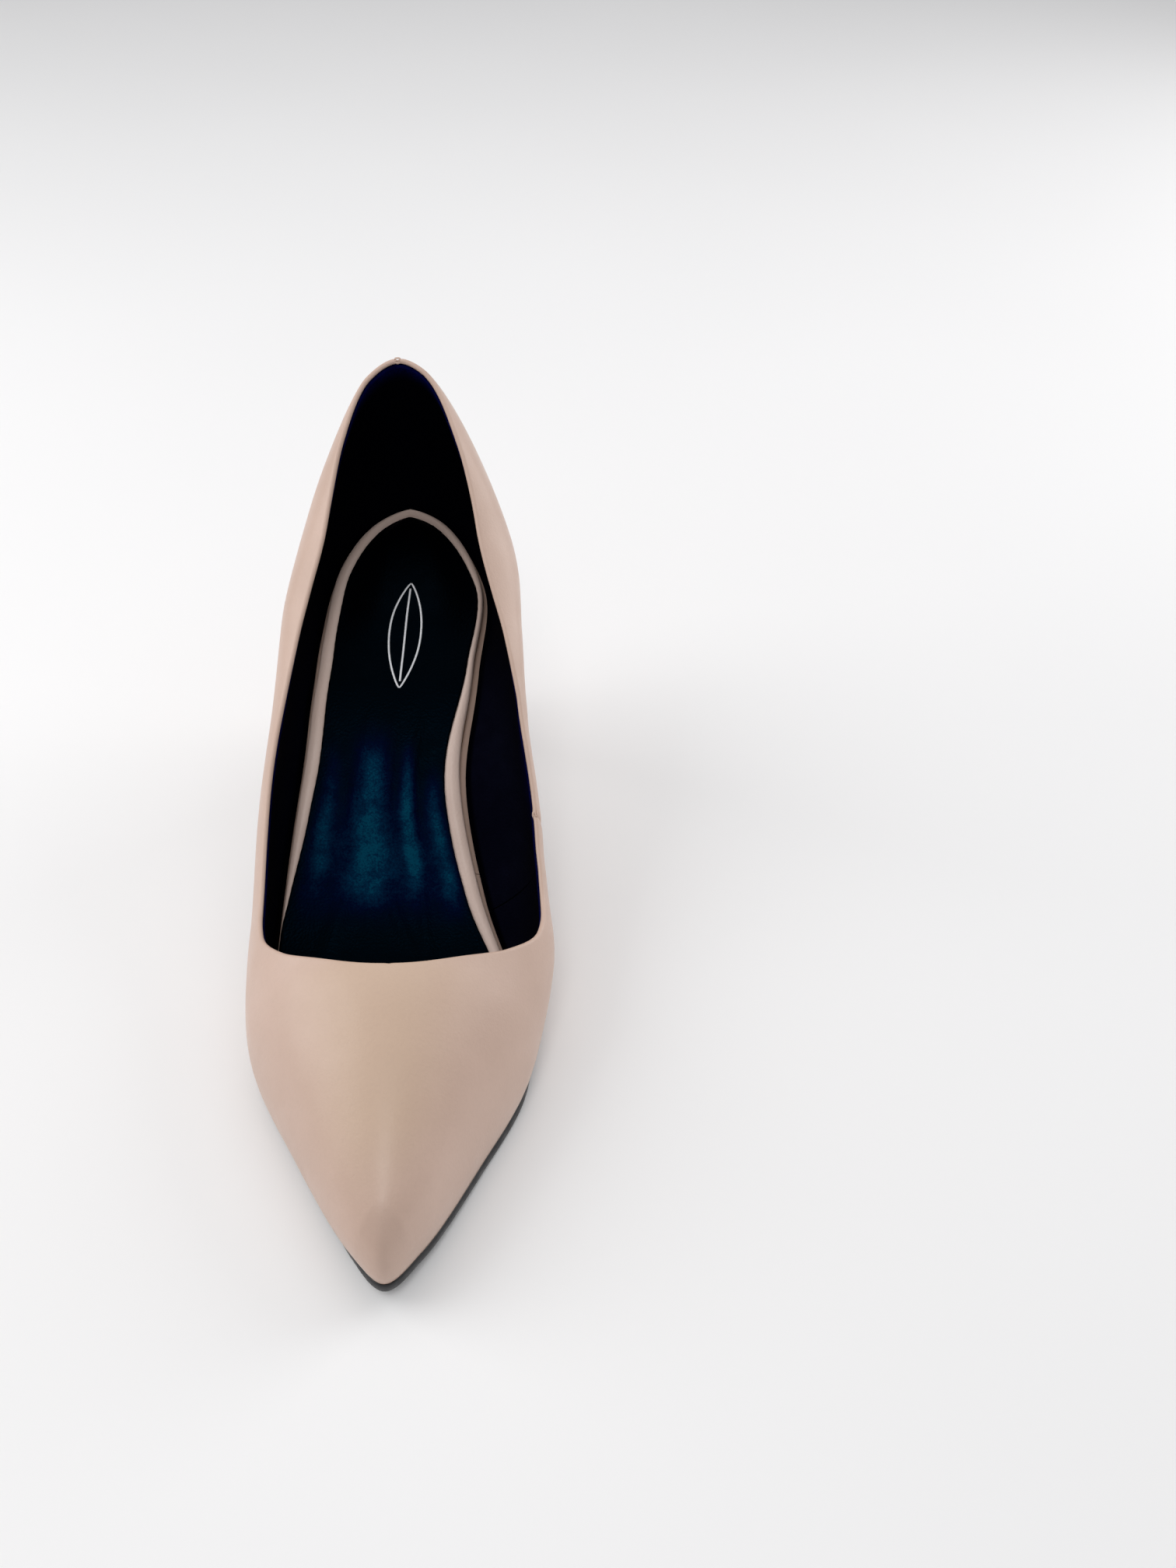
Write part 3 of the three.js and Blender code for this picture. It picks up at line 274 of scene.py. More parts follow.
def piece(name, verts, faces, replaces=(), slot=None, smooth_shading=True, weld=2e-6):
    """A mesh object in metres from points in millimetres, facing outward."""
    mesh = bpy.data.meshes.new(name)
    points = (np.asarray(verts, float) + np.array(SHIFT)) * 0.001
    mesh.from_pydata(points.tolist(), [], [list(map(int, f)) for f in faces])
    bm = bmesh.new()
    bm.from_mesh(mesh)
    bmesh.ops.remove_doubles(bm, verts=bm.verts, dist=weld)
    bmesh.ops.dissolve_degenerate(bm, edges=bm.edges, dist=1e-7)
    bmesh.ops.recalc_face_normals(bm, faces=bm.faces)
    bm.to_mesh(mesh)
    bm.free()
    for polygon in mesh.polygons:
        polygon.use_smooth = smooth_shading
    obj = bpy.data.objects.new(name, mesh)
    bpy.context.scene.collection.objects.link(obj)
    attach(obj, "root")
    if replaces:
        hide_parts(*replaces)
    return obj


class Skin:
    """Collects points and faces."""

    def __init__(self):
        self.points = []
        self.faces = []
        self.count = 0

    def add(self, grid):
        grid = np.asarray(grid, float)
        index = np.arange(self.count, self.count + grid.reshape(-1, 3).shape[0]).reshape(grid.shape[:-1])
        self.points.append(grid.reshape(-1, 3))
        self.count += index.size
        return index

    def strip(self, a, b, close=False):
        """Quads between two rows of points."""
        n = len(a)
        for i in range(n if close else n - 1):
            j = (i + 1) % n
            self.faces.append((a[i], a[j], b[j], b[i]))

    def loft(self, index, close=False):
        for k in range(len(index) - 1):
            self.strip(index[k], index[k + 1], close)

    def done(self, name, **facts):
        return piece(name, np.concatenate(self.points), self.faces, **facts)


# ---------------------------------------------------------------- stations along the shoe


def station_ys():
    ys = [Y_TOE + 18 * (1 - math.cos(i / 26 * math.pi / 2)) for i in range(1, 27)]
    ys += [THROAT_Y + 0.02 + 14 * (i / 34) ** 2 for i in range(35)]
    ys += [Y_BACK - HEEL_FAN * (1 - math.sin(i / 26 * math.pi / 2)) for i in range(26)]
    for seam in (SIDE_SEAM_Y, LINING_SEAM_Y, GRIP_SEAM_Y):
        for d in (0.06, 0.3, 0.6, 1.0, 1.6, 2.6):
            ys += [seam - d, seam + d]
    ys = sorted(ys)
    filled = [ys[0]]
    for a, b in zip(ys, ys[1:]):
        parts = max(1, math.ceil((b - a) / 1.9))
        filled += [a + (b - a) * j / parts for j in range(1, parts + 1)]
    return np.array(filled)


def stations(drop=0.0, ahead=0.0):
    """Places on both sides for every station, with the topline's share of each wall line."""
    ys = station_ys()
    outer = np.concatenate([[10.0], place_at("outer", ys)])
    inner = np.concatenate([[10.0], place_at("inner", ys)])
    ys = np.concatenate([[Y_TOE], ys])
    tail = np.array([0.02, 0.012, 0.0055, 0.0014])
    outer = np.concatenate([outer, tail, [0.0]])
    inner = np.concatenate([inner, 20 - tail, [20.0]])
    ys = np.concatenate([ys, foot(tail)[:, 1], [Y_BACK]])
    share = {"outer": topline_share(outer, drop, ahead), "inner": topline_share(inner, drop, ahead)}
    closed = (share["outer"] == 1) & (share["inner"] == 1)
    return {"y": ys, "outer": outer, "inner": inner, "share": share, "closed": closed}


def topline_frames(st):
    """For each open station and side: point, normal and the direction into the opening."""
    throat = int(np.nonzero(st["closed"])[0][-1])
    outer = list(range(len(st["y"]) - 1, throat, -1))
    inner = list(range(throat + 1, len(st["y"])))
    order = [("outer", k) for k in outer] + [("outer", throat)] + [("inner", k) for k in inner]
    s = np.array([st[side][k] for side, k in order])
    v = np.array([st["share"][side][k] for side, k in order])
    p, n = wall(s, v)
    ahead = np.roll(p, -1, 0)
    behind = np.roll(p, 1, 0)
    ahead[-1] = p[1]
    behind[0] = p[-2]
    t = unit(ahead - behind)
    b = unit(np.cross(n, t))
    frames = {}
    for i, key in enumerate(order):
        frames[key] = (p[i], n[i], b[i])
    frames[("inner", throat)] = frames[("outer", throat)]
    return throat, frames


ROWS = 30
ARC = 7
LOW_TO_HIGH = 1 - (1 - np.linspace(0, 1, ROWS + 1)) ** 1.25


def seam_dip(side, y, x, seams):
    """Depth of the groove where a piece is turned in at a seam."""
    dip = np.zeros(np.shape(y))
    for seam_side, kind, at in seams:
        if seam_side != side:
            continue
        gap = np.abs(y - at) if kind == "y" else np.abs(x - at) + 9 * (y < 60)
        dip = dip + 0.42 * np.exp(-(gap / 0.75) ** 2)
    return dip


def upper_shell(name, spans, seams, **facts):
    """A piece of the upper: wall, folded topline edge, inside face and lasting margin."""
    st = upper_stations
    throat, frames = upper_throat, upper_frames
    skin = Skin()
    for side, (first, last) in spans.items():
        rings = []
        for k in range(first, last + 1):
            s = np.full(ROWS + 1, st[side][k])
            v = st["share"][side][k] * LOW_TO_HIGH
            p, n = wall(s, v)
            dip = seam_dip(side, p[:, 1], p[:, 0], seams)[:, None]
            outside = p - n * dip
            is_open = k >= throat
            bead = smooth(1 - (1 - LOW_TO_HIGH) / 0.035)[:, None] if is_open else 0
            inside = p - n * (UPPER + (2 * FOLD - UPPER) * bead)
            inside[0, 2] = over(inside[0, 1], MARGIN)
            start, end = wall_line(st[side][k])[0], wall_line(st[side][k])[3]
            inward = unit(np.array([end[0] - start[0], end[1] - start[1]]))
            reach = np.hypot(end[0] - start[0], end[1] - start[1])
            edge = start[:2] + inward * min(MARGIN_WIDTH, 0.8 * reach)
            under = np.array([edge[0], edge[1], bed(edge[1])])
            above = np.array([edge[0], edge[1], over(edge[1], MARGIN)])
            if is_open:
                _, normal, b = frames[(side, k)]
                centre = outside[-1] - normal * FOLD
                turn = np.linspace(0, math.pi, ARC + 2)[1:-1, None]
                arc = centre + FOLD * (np.cos(turn) * normal + np.sin(turn) * b)
            else:
                arc = np.repeat(outside[-1:], ARC, 0)
            rings.append((np.vstack([under, outside]), arc, np.vstack([above, inside]), k < throat))
        index = [(skin.add(o), skin.add(a), skin.add(i), c) for o, a, i, c in rings]
        for a, b in zip(index, index[1:]):
            skin.strip(a[0], b[0])
            skin.strip(a[2], b[2])
            skin.faces.append((a[0][0], b[0][0], b[2][0], a[2][0]))
            if not a[3]:
                over_a = np.concatenate([[a[0][-1]], a[1], [a[2][-1]]])
                over_b = np.concatenate([[b[0][-1]], b[1], [b[2][-1]]])
                skin.strip(over_a, over_b)
        ends = []
        if not (first == 0 and len(spans) == 2):
            ends.append(index[0])
        ends.append(index[-1])
        for o, arc, i, _ in ends:
            skin.strip(o, i)
            loop = np.concatenate([[o[-1]], arc, [i[-1]]])
            skin.faces.append(tuple(loop))
    return skin.done(name, **facts)


def lining_shell(name, spans, rough, **facts):
    """A lining piece, from the insole up to just under the folded edge."""
    st = lining_stations
    throat = int(np.nonzero(st["closed"])[0][-1])
    skin = Skin()
    rows = 24
    heights = 1 - (1 - np.linspace(0, 1, rows + 1)) ** 1.15
    for side, (first, last) in spans.items():
        index = []
        for k in range(first, last + 1):
            s = np.full(rows + 1, st[side][k])
            v = st["share"][side][k] * heights
            p, n = wall(s, v)
            y = st["y"][k]
            wave = np.sin(0.31 * p[:, 1] + 0.05 * p[:, 2])
            ripple = rough * (wave + 0.6 * np.sin(0.83 * p[:, 2] + 0.2 * y))
            ripple = (ripple * np.sin(math.pi * heights))[:, None]
            near_rim = smooth((heights - 0.9) / 0.1)
            tuck = 0.14 * near_rim[:, None]
            stiffener = STIFF * (stiffened(p[:, 1]) * (1 - near_rim))[:, None]
            depth = LINING_DEPTH - 0.1 - tuck + stiffener
            outside = p - n * depth
            inside = p - n * (depth + LINING + 0.1 + ripple)
            for rim in (outside, inside):
                rim[0, 2] = max(rim[0, 2], over(rim[0, 1], INSOLE_LOW))
            index.append((skin.add(outside), skin.add(inside), k < throat))
        for a, b in zip(index, index[1:]):
            skin.strip(a[0], b[0])
            skin.strip(a[1], b[1])
            skin.faces.append((a[0][0], b[0][0], b[1][0], a[1][0]))
            if not (a[2] and b[2]):
                skin.faces.append((a[0][-1], b[0][-1], b[1][-1], a[1][-1]))
        ends = []
        if not (first == 0 and len(spans) == 2):
            ends.append(index[0])
        if not (last == len(st["y"]) - 1 and len(spans) == 2):
            ends.append(index[-1])
        for o, i, _ in ends:
            skin.strip(o, i)
    return skin.done(name, **facts)


upper_stations = stations()
upper_throat, upper_frames = topline_frames(upper_stations)
lining_stations = stations(drop=0.45, ahead=0.6)


def station_near(st, y):
    return int(np.argmin(np.abs(st["y"] - y)))


LAST = len(upper_stations["y"]) - 1
seam_front = station_near(upper_stations, SIDE_SEAM_Y - 0.06)
seam_behind = station_near(upper_stations, SIDE_SEAM_Y + 0.06)
side_seam = ("inner", "y", SIDE_SEAM_Y)
back_outer = ("outer", "x", 0.0)
back_inner = ("inner", "x", 0.0)
vamp = upper_shell(
    "vamp_leather", {"outer": (0, LAST - 1), "inner": (0, seam_front)},
    [side_seam, back_outer], replaces=["vamp"], slot="upper")
quarter = upper_shell(
    "quarter_leather", {"inner": (seam_behind, LAST - 1)},
    [side_seam, back_inner], replaces=["medial_quarter"], slot="upper")

l_seam = station_near(lining_stations, LINING_SEAM_Y - 0.06)
g_seam = station_near(lining_stations, GRIP_SEAM_Y - 0.06)
vamp_lining = lining_shell(
    "vamp_lining_skin", {"outer": (0, l_seam), "inner": (0, l_seam)}, 0.03,
    replaces=["vamp_lining"], slot="lining")
outer_lining = lining_shell(
    "lateral_lining_skin", {"outer": (l_seam + 1, g_seam)}, 0.05,
    replaces=["lateral_quarter_lining"], slot="lining")
inner_lining = lining_shell(
    "medial_lining_skin", {"inner": (l_seam + 1, g_seam)}, 0.05,
    replaces=["medial_quarter_lining"], slot="lining")
grip_lining = lining_shell(
    "heel_grip_skin", {"outer": (g_seam + 1, LAST), "inner": (g_seam + 1, LAST)}, 0.03,
    replaces=["heel_grip_lining"], slot="grip_lining")

def ribbon(name, low_drop, high_drop, near, far, **facts):
    """A thin tape that follows the topline, between the leather and the lining."""
    st = upper_stations
    low, high = (stations(drop=d)["share"] for d in (low_drop, high_drop))
    skin = Skin()
    order = [("outer", k) for k in range(LAST, upper_throat + 5, -1)]
    order = [order] + [[("inner", k) for k in range(upper_throat + 6, LAST + 1)]]
    for run in order:
        index = []
        for side, k in run:
            s = np.full(4, st[side][k])
            a, b = low[side][k], high[side][k]
            p, n = wall(s, a + (b - a) * np.linspace(0, 1, 4))
            index.append(skin.add(np.vstack([p - n * near, (p - n * far)[::-1]])))
        for a, b in zip(index, index[1:]):
            skin.strip(a, b, close=True)
        skin.faces.append(tuple(index[0]))
        skin.faces.append(tuple(index[-1]))
    return skin.done(name, **facts)


tape = ribbon("topline_ribbon", 6.0, 1.6, 1.2, 1.42, replaces=["topline_tape"], slot="tape")

# ---------------------------------------------------------------- insole, sock and pads


def board_share(y):
    return smooth((y + 25) / 20)


def cover_low(y):
    return INSOLE_HIGH + 0.2 + 1.1 * board_share(y)


def cover_high(y):
    return cover_low(y) + COVER


def lining_clear(y):
    return LINING_DEPTH + LINING + STIFF * stiffened(y) + FIT


def strip_width(y, side):
    return profile(STRIP_OUTER if side == "outer" else STRIP_INNER, y)


def pad_share(y, w):
    fore = smooth((y + 90) / 14) * smooth((-22 - y) / 16)
    rear = smooth((y - 60) / 14) * smooth((112 - y) / 12)
    return (fore + rear) * smooth(w / 0.32) * smooth((1 - w) / 0.32)


def sheet_rows(ys, inset):
    """Ends of the rows across the shoe, inset from the bottom edge, on each side."""
    ends = []
    for side in ("outer", "inner"):
        s = place_at(side, ys)
        s = np.where(ys >= Y_BACK, 0.0 if side == "outer" else 20.0, s)
        p = foot(s) + 0 * ys[:, None]
        p = p - edge_normal(s) * inset(ys, side)[:, None]
        p[:, 0] = np.minimum(p[:, 0], 0) if side == "outer" else np.maximum(p[:, 0], 0)
        ends.append(p)
    return ends


def sheet(name, ys, inset, top, bottom, edge=0.3, across=40, wobble=0.0, **facts):
    """A sheet with softly rounded edges. top gives heights from (x, y, w, near) and bottom from
    (x, y, w); w runs from 0 to 1 across the sheet, near is the distance to the nearer side edge."""
    skin = Skin()
    left, right = sheet_rows(ys, inset)
    if wobble:
        for i, end in enumerate((left, right)):
            noise = (np.sin(ys * 2.1 + i) + np.sin(ys * 5.3 + 2 * i) + 0.7 * np.sin(ys * 11.7)) / 3
            end[:, 0] += wobble * noise
    w = 0.5 - 0.5 * np.cos(np.linspace(0, math.pi, across + 1))
    w = 0.5 * w + 0.5 * np.linspace(0, 1, across + 1)
    rows_top, rows_low = [], []
    for a, b, y in zip(left, right, ys):
        p = a + (b - a) * w[:, None]
        span = np.linalg.norm(b - a)
        near = np.minimum(w, 1 - w) * span
        close = np.minimum(near, np.minimum(abs(y - ys[0]), abs(ys[-1] - y)) + 0.02)
        round_off = edge * (1 - np.sqrt(np.clip(1 - (1 - np.clip(close / edge, 0, 1)) ** 2, 0, 1)))
        high = top(p[:, 0], p[:, 1], w, near) - round_off
        low = bottom(p[:, 0], p[:, 1], w)
        rows_top.append(np.column_stack([p, np.maximum(high, low + 0.05)]))
        rows_low.append(np.column_stack([p, low]))
    tops = skin.add(np.array(rows_top))
    lows = skin.add(np.array(rows_low))
    skin.loft(tops)
    skin.loft(lows)
    skin.strip(tops[:, 0], lows[:, 0])
    skin.strip(tops[:, -1], lows[:, -1])
    skin.strip(tops[0], lows[0])
    skin.strip(tops[-1], lows[-1])
    return skin.done(name, **facts)


def spaced(a, b, step, toe=False, back=False):
    """Places along the shoe, closer together at a round toe or heel."""
    ys = np.linspace(a, b, int((b - a) / step) + 1)
    extra = []
    if toe:
        extra += [a + 4 * (1 - math.cos(i / 8 * math.pi / 2)) for i in range(1, 8)]
    if back:
        extra += [b - 10 * (1 - math.cos(i / 18 * math.pi / 2)) for i in range(1, 18)]
    else:
        extra += [b - 0.1, b - 0.3]
    return np.unique(np.round(np.concatenate([ys, extra]), 3))


def cover_top(x, y, w, near):
    """The strip beside the sock is a soft roll; under the sock the cover is flat."""
    width = np.where(x < 0, profile(STRIP_OUTER, y), profile(STRIP_INNER, y)) + 0.6
    roll = np.sin(math.pi * np.clip(near / np.maximum(width, 0.5), 0, 1)) ** 0.8
    return over(y, cover_high(y) + 0.24 * np.minimum(width, 3.6) * np.nan_to_num(roll))


cover_ys = spaced(Y_TOE, Y_BACK, 2.0, toe=True, back=True)
cover = sheet(
    "insole_cover_skin", cover_ys, lambda y, side: lining_clear(y),
    cover_top,
    lambda x, y, w: over(y, cover_low(y)),
    edge=0.5, across=120, replaces=["insole_cover"], slot="insole_cover")


def wrinkles(y, w):
    """Soft lengthwise folds where the sock is drawn over the hollow of the waist."""
    waist = smooth((y + 26) / 22) * smooth((52 - y) / 26)
    sway = 0.05 * np.sin(y / 17.0) + 0.03 * np.sin(y / 7.0 + 1)
    folds = (np.exp(-((w - 0.30 - sway) / 0.045) ** 2) + 0.8 * np.exp(-((w - 0.58 + 0.7 * sway) / 0.035) ** 2)
             + 0.7 * np.exp(-((w - 0.74 - 0.4 * sway) / 0.03) ** 2) + 0.4 * np.exp(-((w - 0.44) / 0.04) ** 2))
    broad = 0.35 * np.sin(w * 9.5 + y / 30.0)
    return waist * (0.42 * folds + broad * 0.35) * smooth(w / 0.12) * smooth((1 - w) / 0.12)


def sock_low(y, w):
    return cover_high(y) + 0.2 + PAD_RISE * pad_share(y, w)


sock_ys = spaced(-100, Y_BACK, 1.1, back=True)
sock = sheet(
    "sock_skin", sock_ys, lambda y, side: lining_clear(y) + strip_width(y, side),
    lambda x, y, w, near: over(y, sock_low(y, w) + SOCK + wrinkles(y, w)),
    lambda x, y, w: over(y, cover_high(y) + 0.02),
    edge=0.45, across=90, wobble=0.11, replaces=["sock"], slot="sock")


def pad_top(x, y, w, near):
    swell = np.maximum(0.12, PAD_RISE * pad_share(y, 0.11 + 0.78 * w) - 0.25)
    return over(y, cover_high(y) + 0.1 + swell)


def pad(name, a, b, node):
    """A foam pad between cover and sock, from a to b along the shoe."""
    return sheet(
        name, spaced(a, b, 1.5), lambda y, side: lining_clear(y) + strip_width(y, side) + 3.5,
        pad_top,
        lambda x, y, w: over(y, cover_high(y) + 0.04),
        edge=0.5, across=30, replaces=[node], slot="foam")


fore_pad = pad("forefoot_foam", -84, -31, "forefoot_pad")
heel_pad = pad("heel_foam", 66, 106, "heel_pad")


# ---------------------------------------------------------------- outsole


def sole_thickness(y):
    back = smooth((y + 38) / 46)
    front = 0.4 * smooth((-75 - y) / 25)
    return SOLE_FOREPART * (1 - back) + SOLE_WAIST * back - front


def sole_inset(y, side):
    back = smooth((y + 40) / 30)
    fore = -SOLE_EDGE + (SOLE_TUCK + SOLE_EDGE) * (smooth((y + 116) / 22) if side == "outer" else 0)
    return fore * (1 - back) + 0.7 * back


def sole_bottom(y):
    return np.maximum(0, over(y, -FIT - sole_thickness(y)))


def outsole_piece():
    """Outsole with a rounded edge; rows run round the edge and close over top and tread."""
    skin = Skin()
    ys = spaced(Y_TOE, Y_BACK, 2.0, toe=True, back=True)
    bulge = [(0.0, 0.0), (0.12, 0.22), (0.35, 0.34), (0.65, 0.3), (0.86, 0.05), (1.0, -0.45)]
    grids = []
    for share, swell in bulge:
        left, right = sheet_rows(ys, lambda y, side: sole_inset(y, side) - swell + 0.25)
        rows = []
        for end in (left, right):
            top = over(end[:, 1], -FIT)
            low = sole_bottom(end[:, 1])
            rows.append(np.column_stack([end, top + (low - top) * share]))
        grids.append(rows)
    levels = [np.concatenate([g[0], g[1][::-1]]) for g in grids]
    index = [skin.add(level) for level in levels]
    for a, b in zip(index, index[1:]):
        skin.strip(a, b, close=True)
    for which in (0, len(grids) - 1):
        left, right = grids[which]
        w = np.linspace(0, 1, 9)
        grid = left[:, None] * (1 - w)[None, :, None] + right[:, None] * w[None, :, None]
        if which == 0:
            grid[..., 2] = over(grid[..., 1], -FIT)
        else:
            grid[..., 2] = sole_bottom(grid[..., 1])
        grid[:, 0] = left
        grid[:, -1] = right
        skin.loft(skin.add(grid))
    return skin.done("outsole_rubber", replaces=["outsole"], slot="outsole")


outsole = outsole_piece()

# ---------------------------------------------------------------- heel


SEAT_INSET = 1.1                    # how far the heel sits inside the upper's bottom edge
BREAST_BOW = 3.5                    # forward bow of the heel breast
HEEL_COVER = 0.45                   # thickness of the heel's leather


def heel_shell(lid, steps):
    """Rings of the heel wall, from the tip up to the seat."""
    straight = np.linspace(BREAST_Y, Y_BACK - 6, 22)
    rounded = [Y_BACK - 6 * (1 - math.sin(i / 12 * math.pi / 2)) for i in range(13)]
    ys = np.unique(np.round(np.concatenate([straight, rounded]), 3))
    left, right = sheet_rows(ys, lambda y, side: SEAT_INSET + 0 * y)
    a, b = right[0], left[0]
    breast = []
    for i in range(1, 17):
        p = a + (b - a) * i / 17
        breast.append([p[0], p[1] - BREAST_BOW * math.sin(math.pi * i / 17)])
    outline = np.concatenate([left, right[::-1][1:], breast])
    front, back = BREAST_Y, Y_BACK - SEAT_INSET
    low = TOP_PIECE + FIT
    rings = []
    for t in 1 - (1 - np.linspace(0, 1, steps + 1)) ** 1.25:
        f, r, width = profile(HEEL_BREAST, t), profile(HEEL_BACK, t), profile(HEEL_WIDTH, t)
        share = (outline[:, 1] - front) / (back - front)
        top = sole_bottom(outline[:, 1]) - FIT - lid
        rings.append(np.column_stack([outline[:, 0] * width, f + share * (r - f), low + t * (top - low)]))
    return np.array(rings)


def heel_cover_piece():
    """The leather round the heel, open at the seat and at the tip."""
    rings = heel_shell(0.05, 64)
    skin = Skin()
    outer_index = skin.add(rings)
    for k in range(len(rings) - 1):
        skin.strip(outer_index[k], outer_index[k + 1], close=True)
    inset = []
    for ring in rings:
        middle = ring.mean(0)
        away = ring - middle
        reach = np.linalg.norm(away[:, :2], axis=1, keepdims=True)
        inward = away[:, :2] / np.maximum(reach, 1e-6) * HEEL_COVER
        inset.append(np.column_stack([ring[:, :2] - inward, ring[:, 2]]))
    inner_index = skin.add(np.array(inset))
    for k in range(len(rings) - 1):
        skin.strip(inner_index[k], inner_index[k + 1], close=True)
    skin.strip(outer_index[0], inner_index[0], close=True)
    skin.strip(outer_index[-1], inner_index[-1], close=True)
    return skin.done("heel_cover_leather", replaces=["heel_cover"], slot="upper")


def top_piece_part():
    """The wearing top piece, with its lower and upper edges eased."""
    base = heel_shell(0, 4)[0]
    centre = np.array([0, 103.35, 0])
    skin = Skin()
    levels = [
        (0.0, 0.90), (0.0, 0.96), (0.25, 1.0), (0.8, 1.035),
        (2.6, 1.05), (4.5, 1.045), (5.0, 1.02), (TOP_PIECE, 0.97),
    ]
    loops = []
    for z, grow in levels:
        loop = (base - centre) * grow + centre
        loop[:, 2] = z
        loops.append(loop)
    index = skin.add(np.array(loops))
    for a, b in zip(index, index[1:]):
        skin.strip(a, b, close=True)
    for row in (index[0], index[-1]):
        loop = loops[0] if row is index[0] else loops[-1]
        middle = skin.add(loop.mean(0)[None])[0]
        for i in range(len(row)):
            skin.faces.append((row[i], row[(i + 1) % len(row)], middle))
    return skin.done("top_piece_rubber", replaces=["top_piece"], slot="top_piece")


heel_cover = heel_cover_piece()
top_piece = top_piece_part()

# ---------------------------------------------------------------- thread at the seams


def thread(path, radius):
    """A closed, slightly flattened length of sewing thread along a short path."""
    path = np.asarray(path, float)
    skin = Skin()
    around = 8
    rings = []
    for i, p in enumerate(path):
        t = unit(path[min(i + 1, len(path) - 1)] - path[max(i - 1, 0)])
        side = unit(np.cross(t, np.array([0.13, 0.2, 0.97])))
        up = np.cross(side, t)
        taper = radius * (0.35 if i in (0, len(path) - 1) else 1)
        angles = np.linspace(0, 2 * math.pi, around, endpoint=False)
        rings.append(p + taper * (np.cos(angles)[:, None] * side + 0.8 * np.sin(angles)[:, None] * up))
    index = skin.add(np.array(rings))
    for a, b in zip(index, index[1:]):
        skin.strip(a, b, close=True)
    skin.faces.append(tuple(index[0]))
    skin.faces.append(tuple(index[-1]))
    return skin


def join_skins(name, skins, **facts):
    """One object from several closed skins."""
    points, faces, count = [], [], 0
    for skin in skins:
        pts = np.concatenate(skin.points)
        points.append(pts)
        faces += [tuple(i + count for i in f) for f in skin.faces]
        count += len(pts)
    return piece(name, np.concatenate(points), faces, **facts)


THREAD_RADIUS = 0.17


def seam_stitches(name, rim_frame, turns, width):
    """Short bar stitches laid across the folded edge at a seam."""
    skins = []
    point, normal, into = rim_frame
    run = unit(np.cross(normal, into))
    for o in turns:
        centre = point - normal * FOLD
        out = math.cos(o) * normal + math.sin(o) * into
        path = [centre + out * (FOLD + 0.1 + 0.08 * math.sin(math.pi * u)) + run * (u - 0.5) * width
                - out * 0.25 * abs(2 * u - 1) ** 4 for u in np.linspace(0, 1, 9)]
        skins.append(thread(path, THREAD_RADIUS))
    return join_skins(name, skins, slot="upper")


side_stitches = seam_stitches(
    "side_seam_stitches", upper_frames[("inner", seam_front)], (0.5, 1.25, 2.0, 2.7), 2.0)
back_stitches = seam_stitches(
    "back_seam_stitches", upper_frames[("outer", LAST)], (0.35, 1.0, 1.7, 2.4), 1.9)

# ---------------------------------------------------------------- foil mark


def sock_surface(x, y):
    """Height of the sock's top at a point seen from above."""
    ys = np.array([y])
    left, right = sheet_rows(ys, lambda yy, side: lining_clear(yy) + strip_width(yy, side))
    w = (x - left[0, 0]) / (right[0, 0] - left[0, 0])
    return float(over(y, sock_low(y, w) + SOCK + wrinkles(y, w)))


def foil_mark():
    """A plain leaf outline with a midrib."""
    skins = []
    length, width, line, lean, middle = 31.5, 9.5, 0.62, 0.1, 66.5

    def band(low, high, a0=0.0, a1=1.0):
        one = Skin()
        rings = []
        for a in np.linspace(a0, a1, 60):
            y = middle + (a - 0.5) * length
            lo, hi = (edge(a) + (a - 0.5) * length * lean for edge in (low, high))
            row = []
            for x, h in ((lo, 0.02), (lo, 0.07), ((lo + hi) / 2, 0.09), (hi, 0.07), (hi, 0.02)):
                row.append([x, y, sock_surface(x, y) + h])
            rings.append(row)
        index = one.add(np.array(rings))
        for p, q in zip(index, index[1:]):
            one.strip(p, q, close=True)
        one.faces.append(tuple(index[0]))
        one.faces.append(tuple(index[-1]))
        return one

    def leaf(a):
        return width / 2 * math.sin(math.pi * min(max(a, 0.0), 1.0)) ** 0.8

    skins.append(band(lambda a: -leaf(a) - line / 2, lambda a: -leaf(a) + line / 2))
    skins.append(band(lambda a: leaf(a) - line / 2, lambda a: leaf(a) + line / 2))
    skins.append(band(lambda a: -line / 2, lambda a: line / 2, 0.06, 0.94))
    return join_skins("sock_foil_mark", skins, replaces=["sock_mark"], slot="foil")


mark = foil_mark()

# ---------------------------------------------------------------- painted shares for the materials: painted highlight, painted light and painted shade


def points_of(obj):
    """Vertices of a piece in millimetres, in the last's own frame."""
    flat = np.zeros(len(obj.data.vertices) * 3)
    obj.data.vertices.foreach_get("co", flat)
    return flat.reshape(-1, 3) * 1000 - np.array(SHIFT)


def paint(obj, name, values):
    layer = obj.data.attributes.new(name, "FLOAT", "POINT")
    layer.data.foreach_set("value", np.clip(values, 0, 1).astype(np.float32))


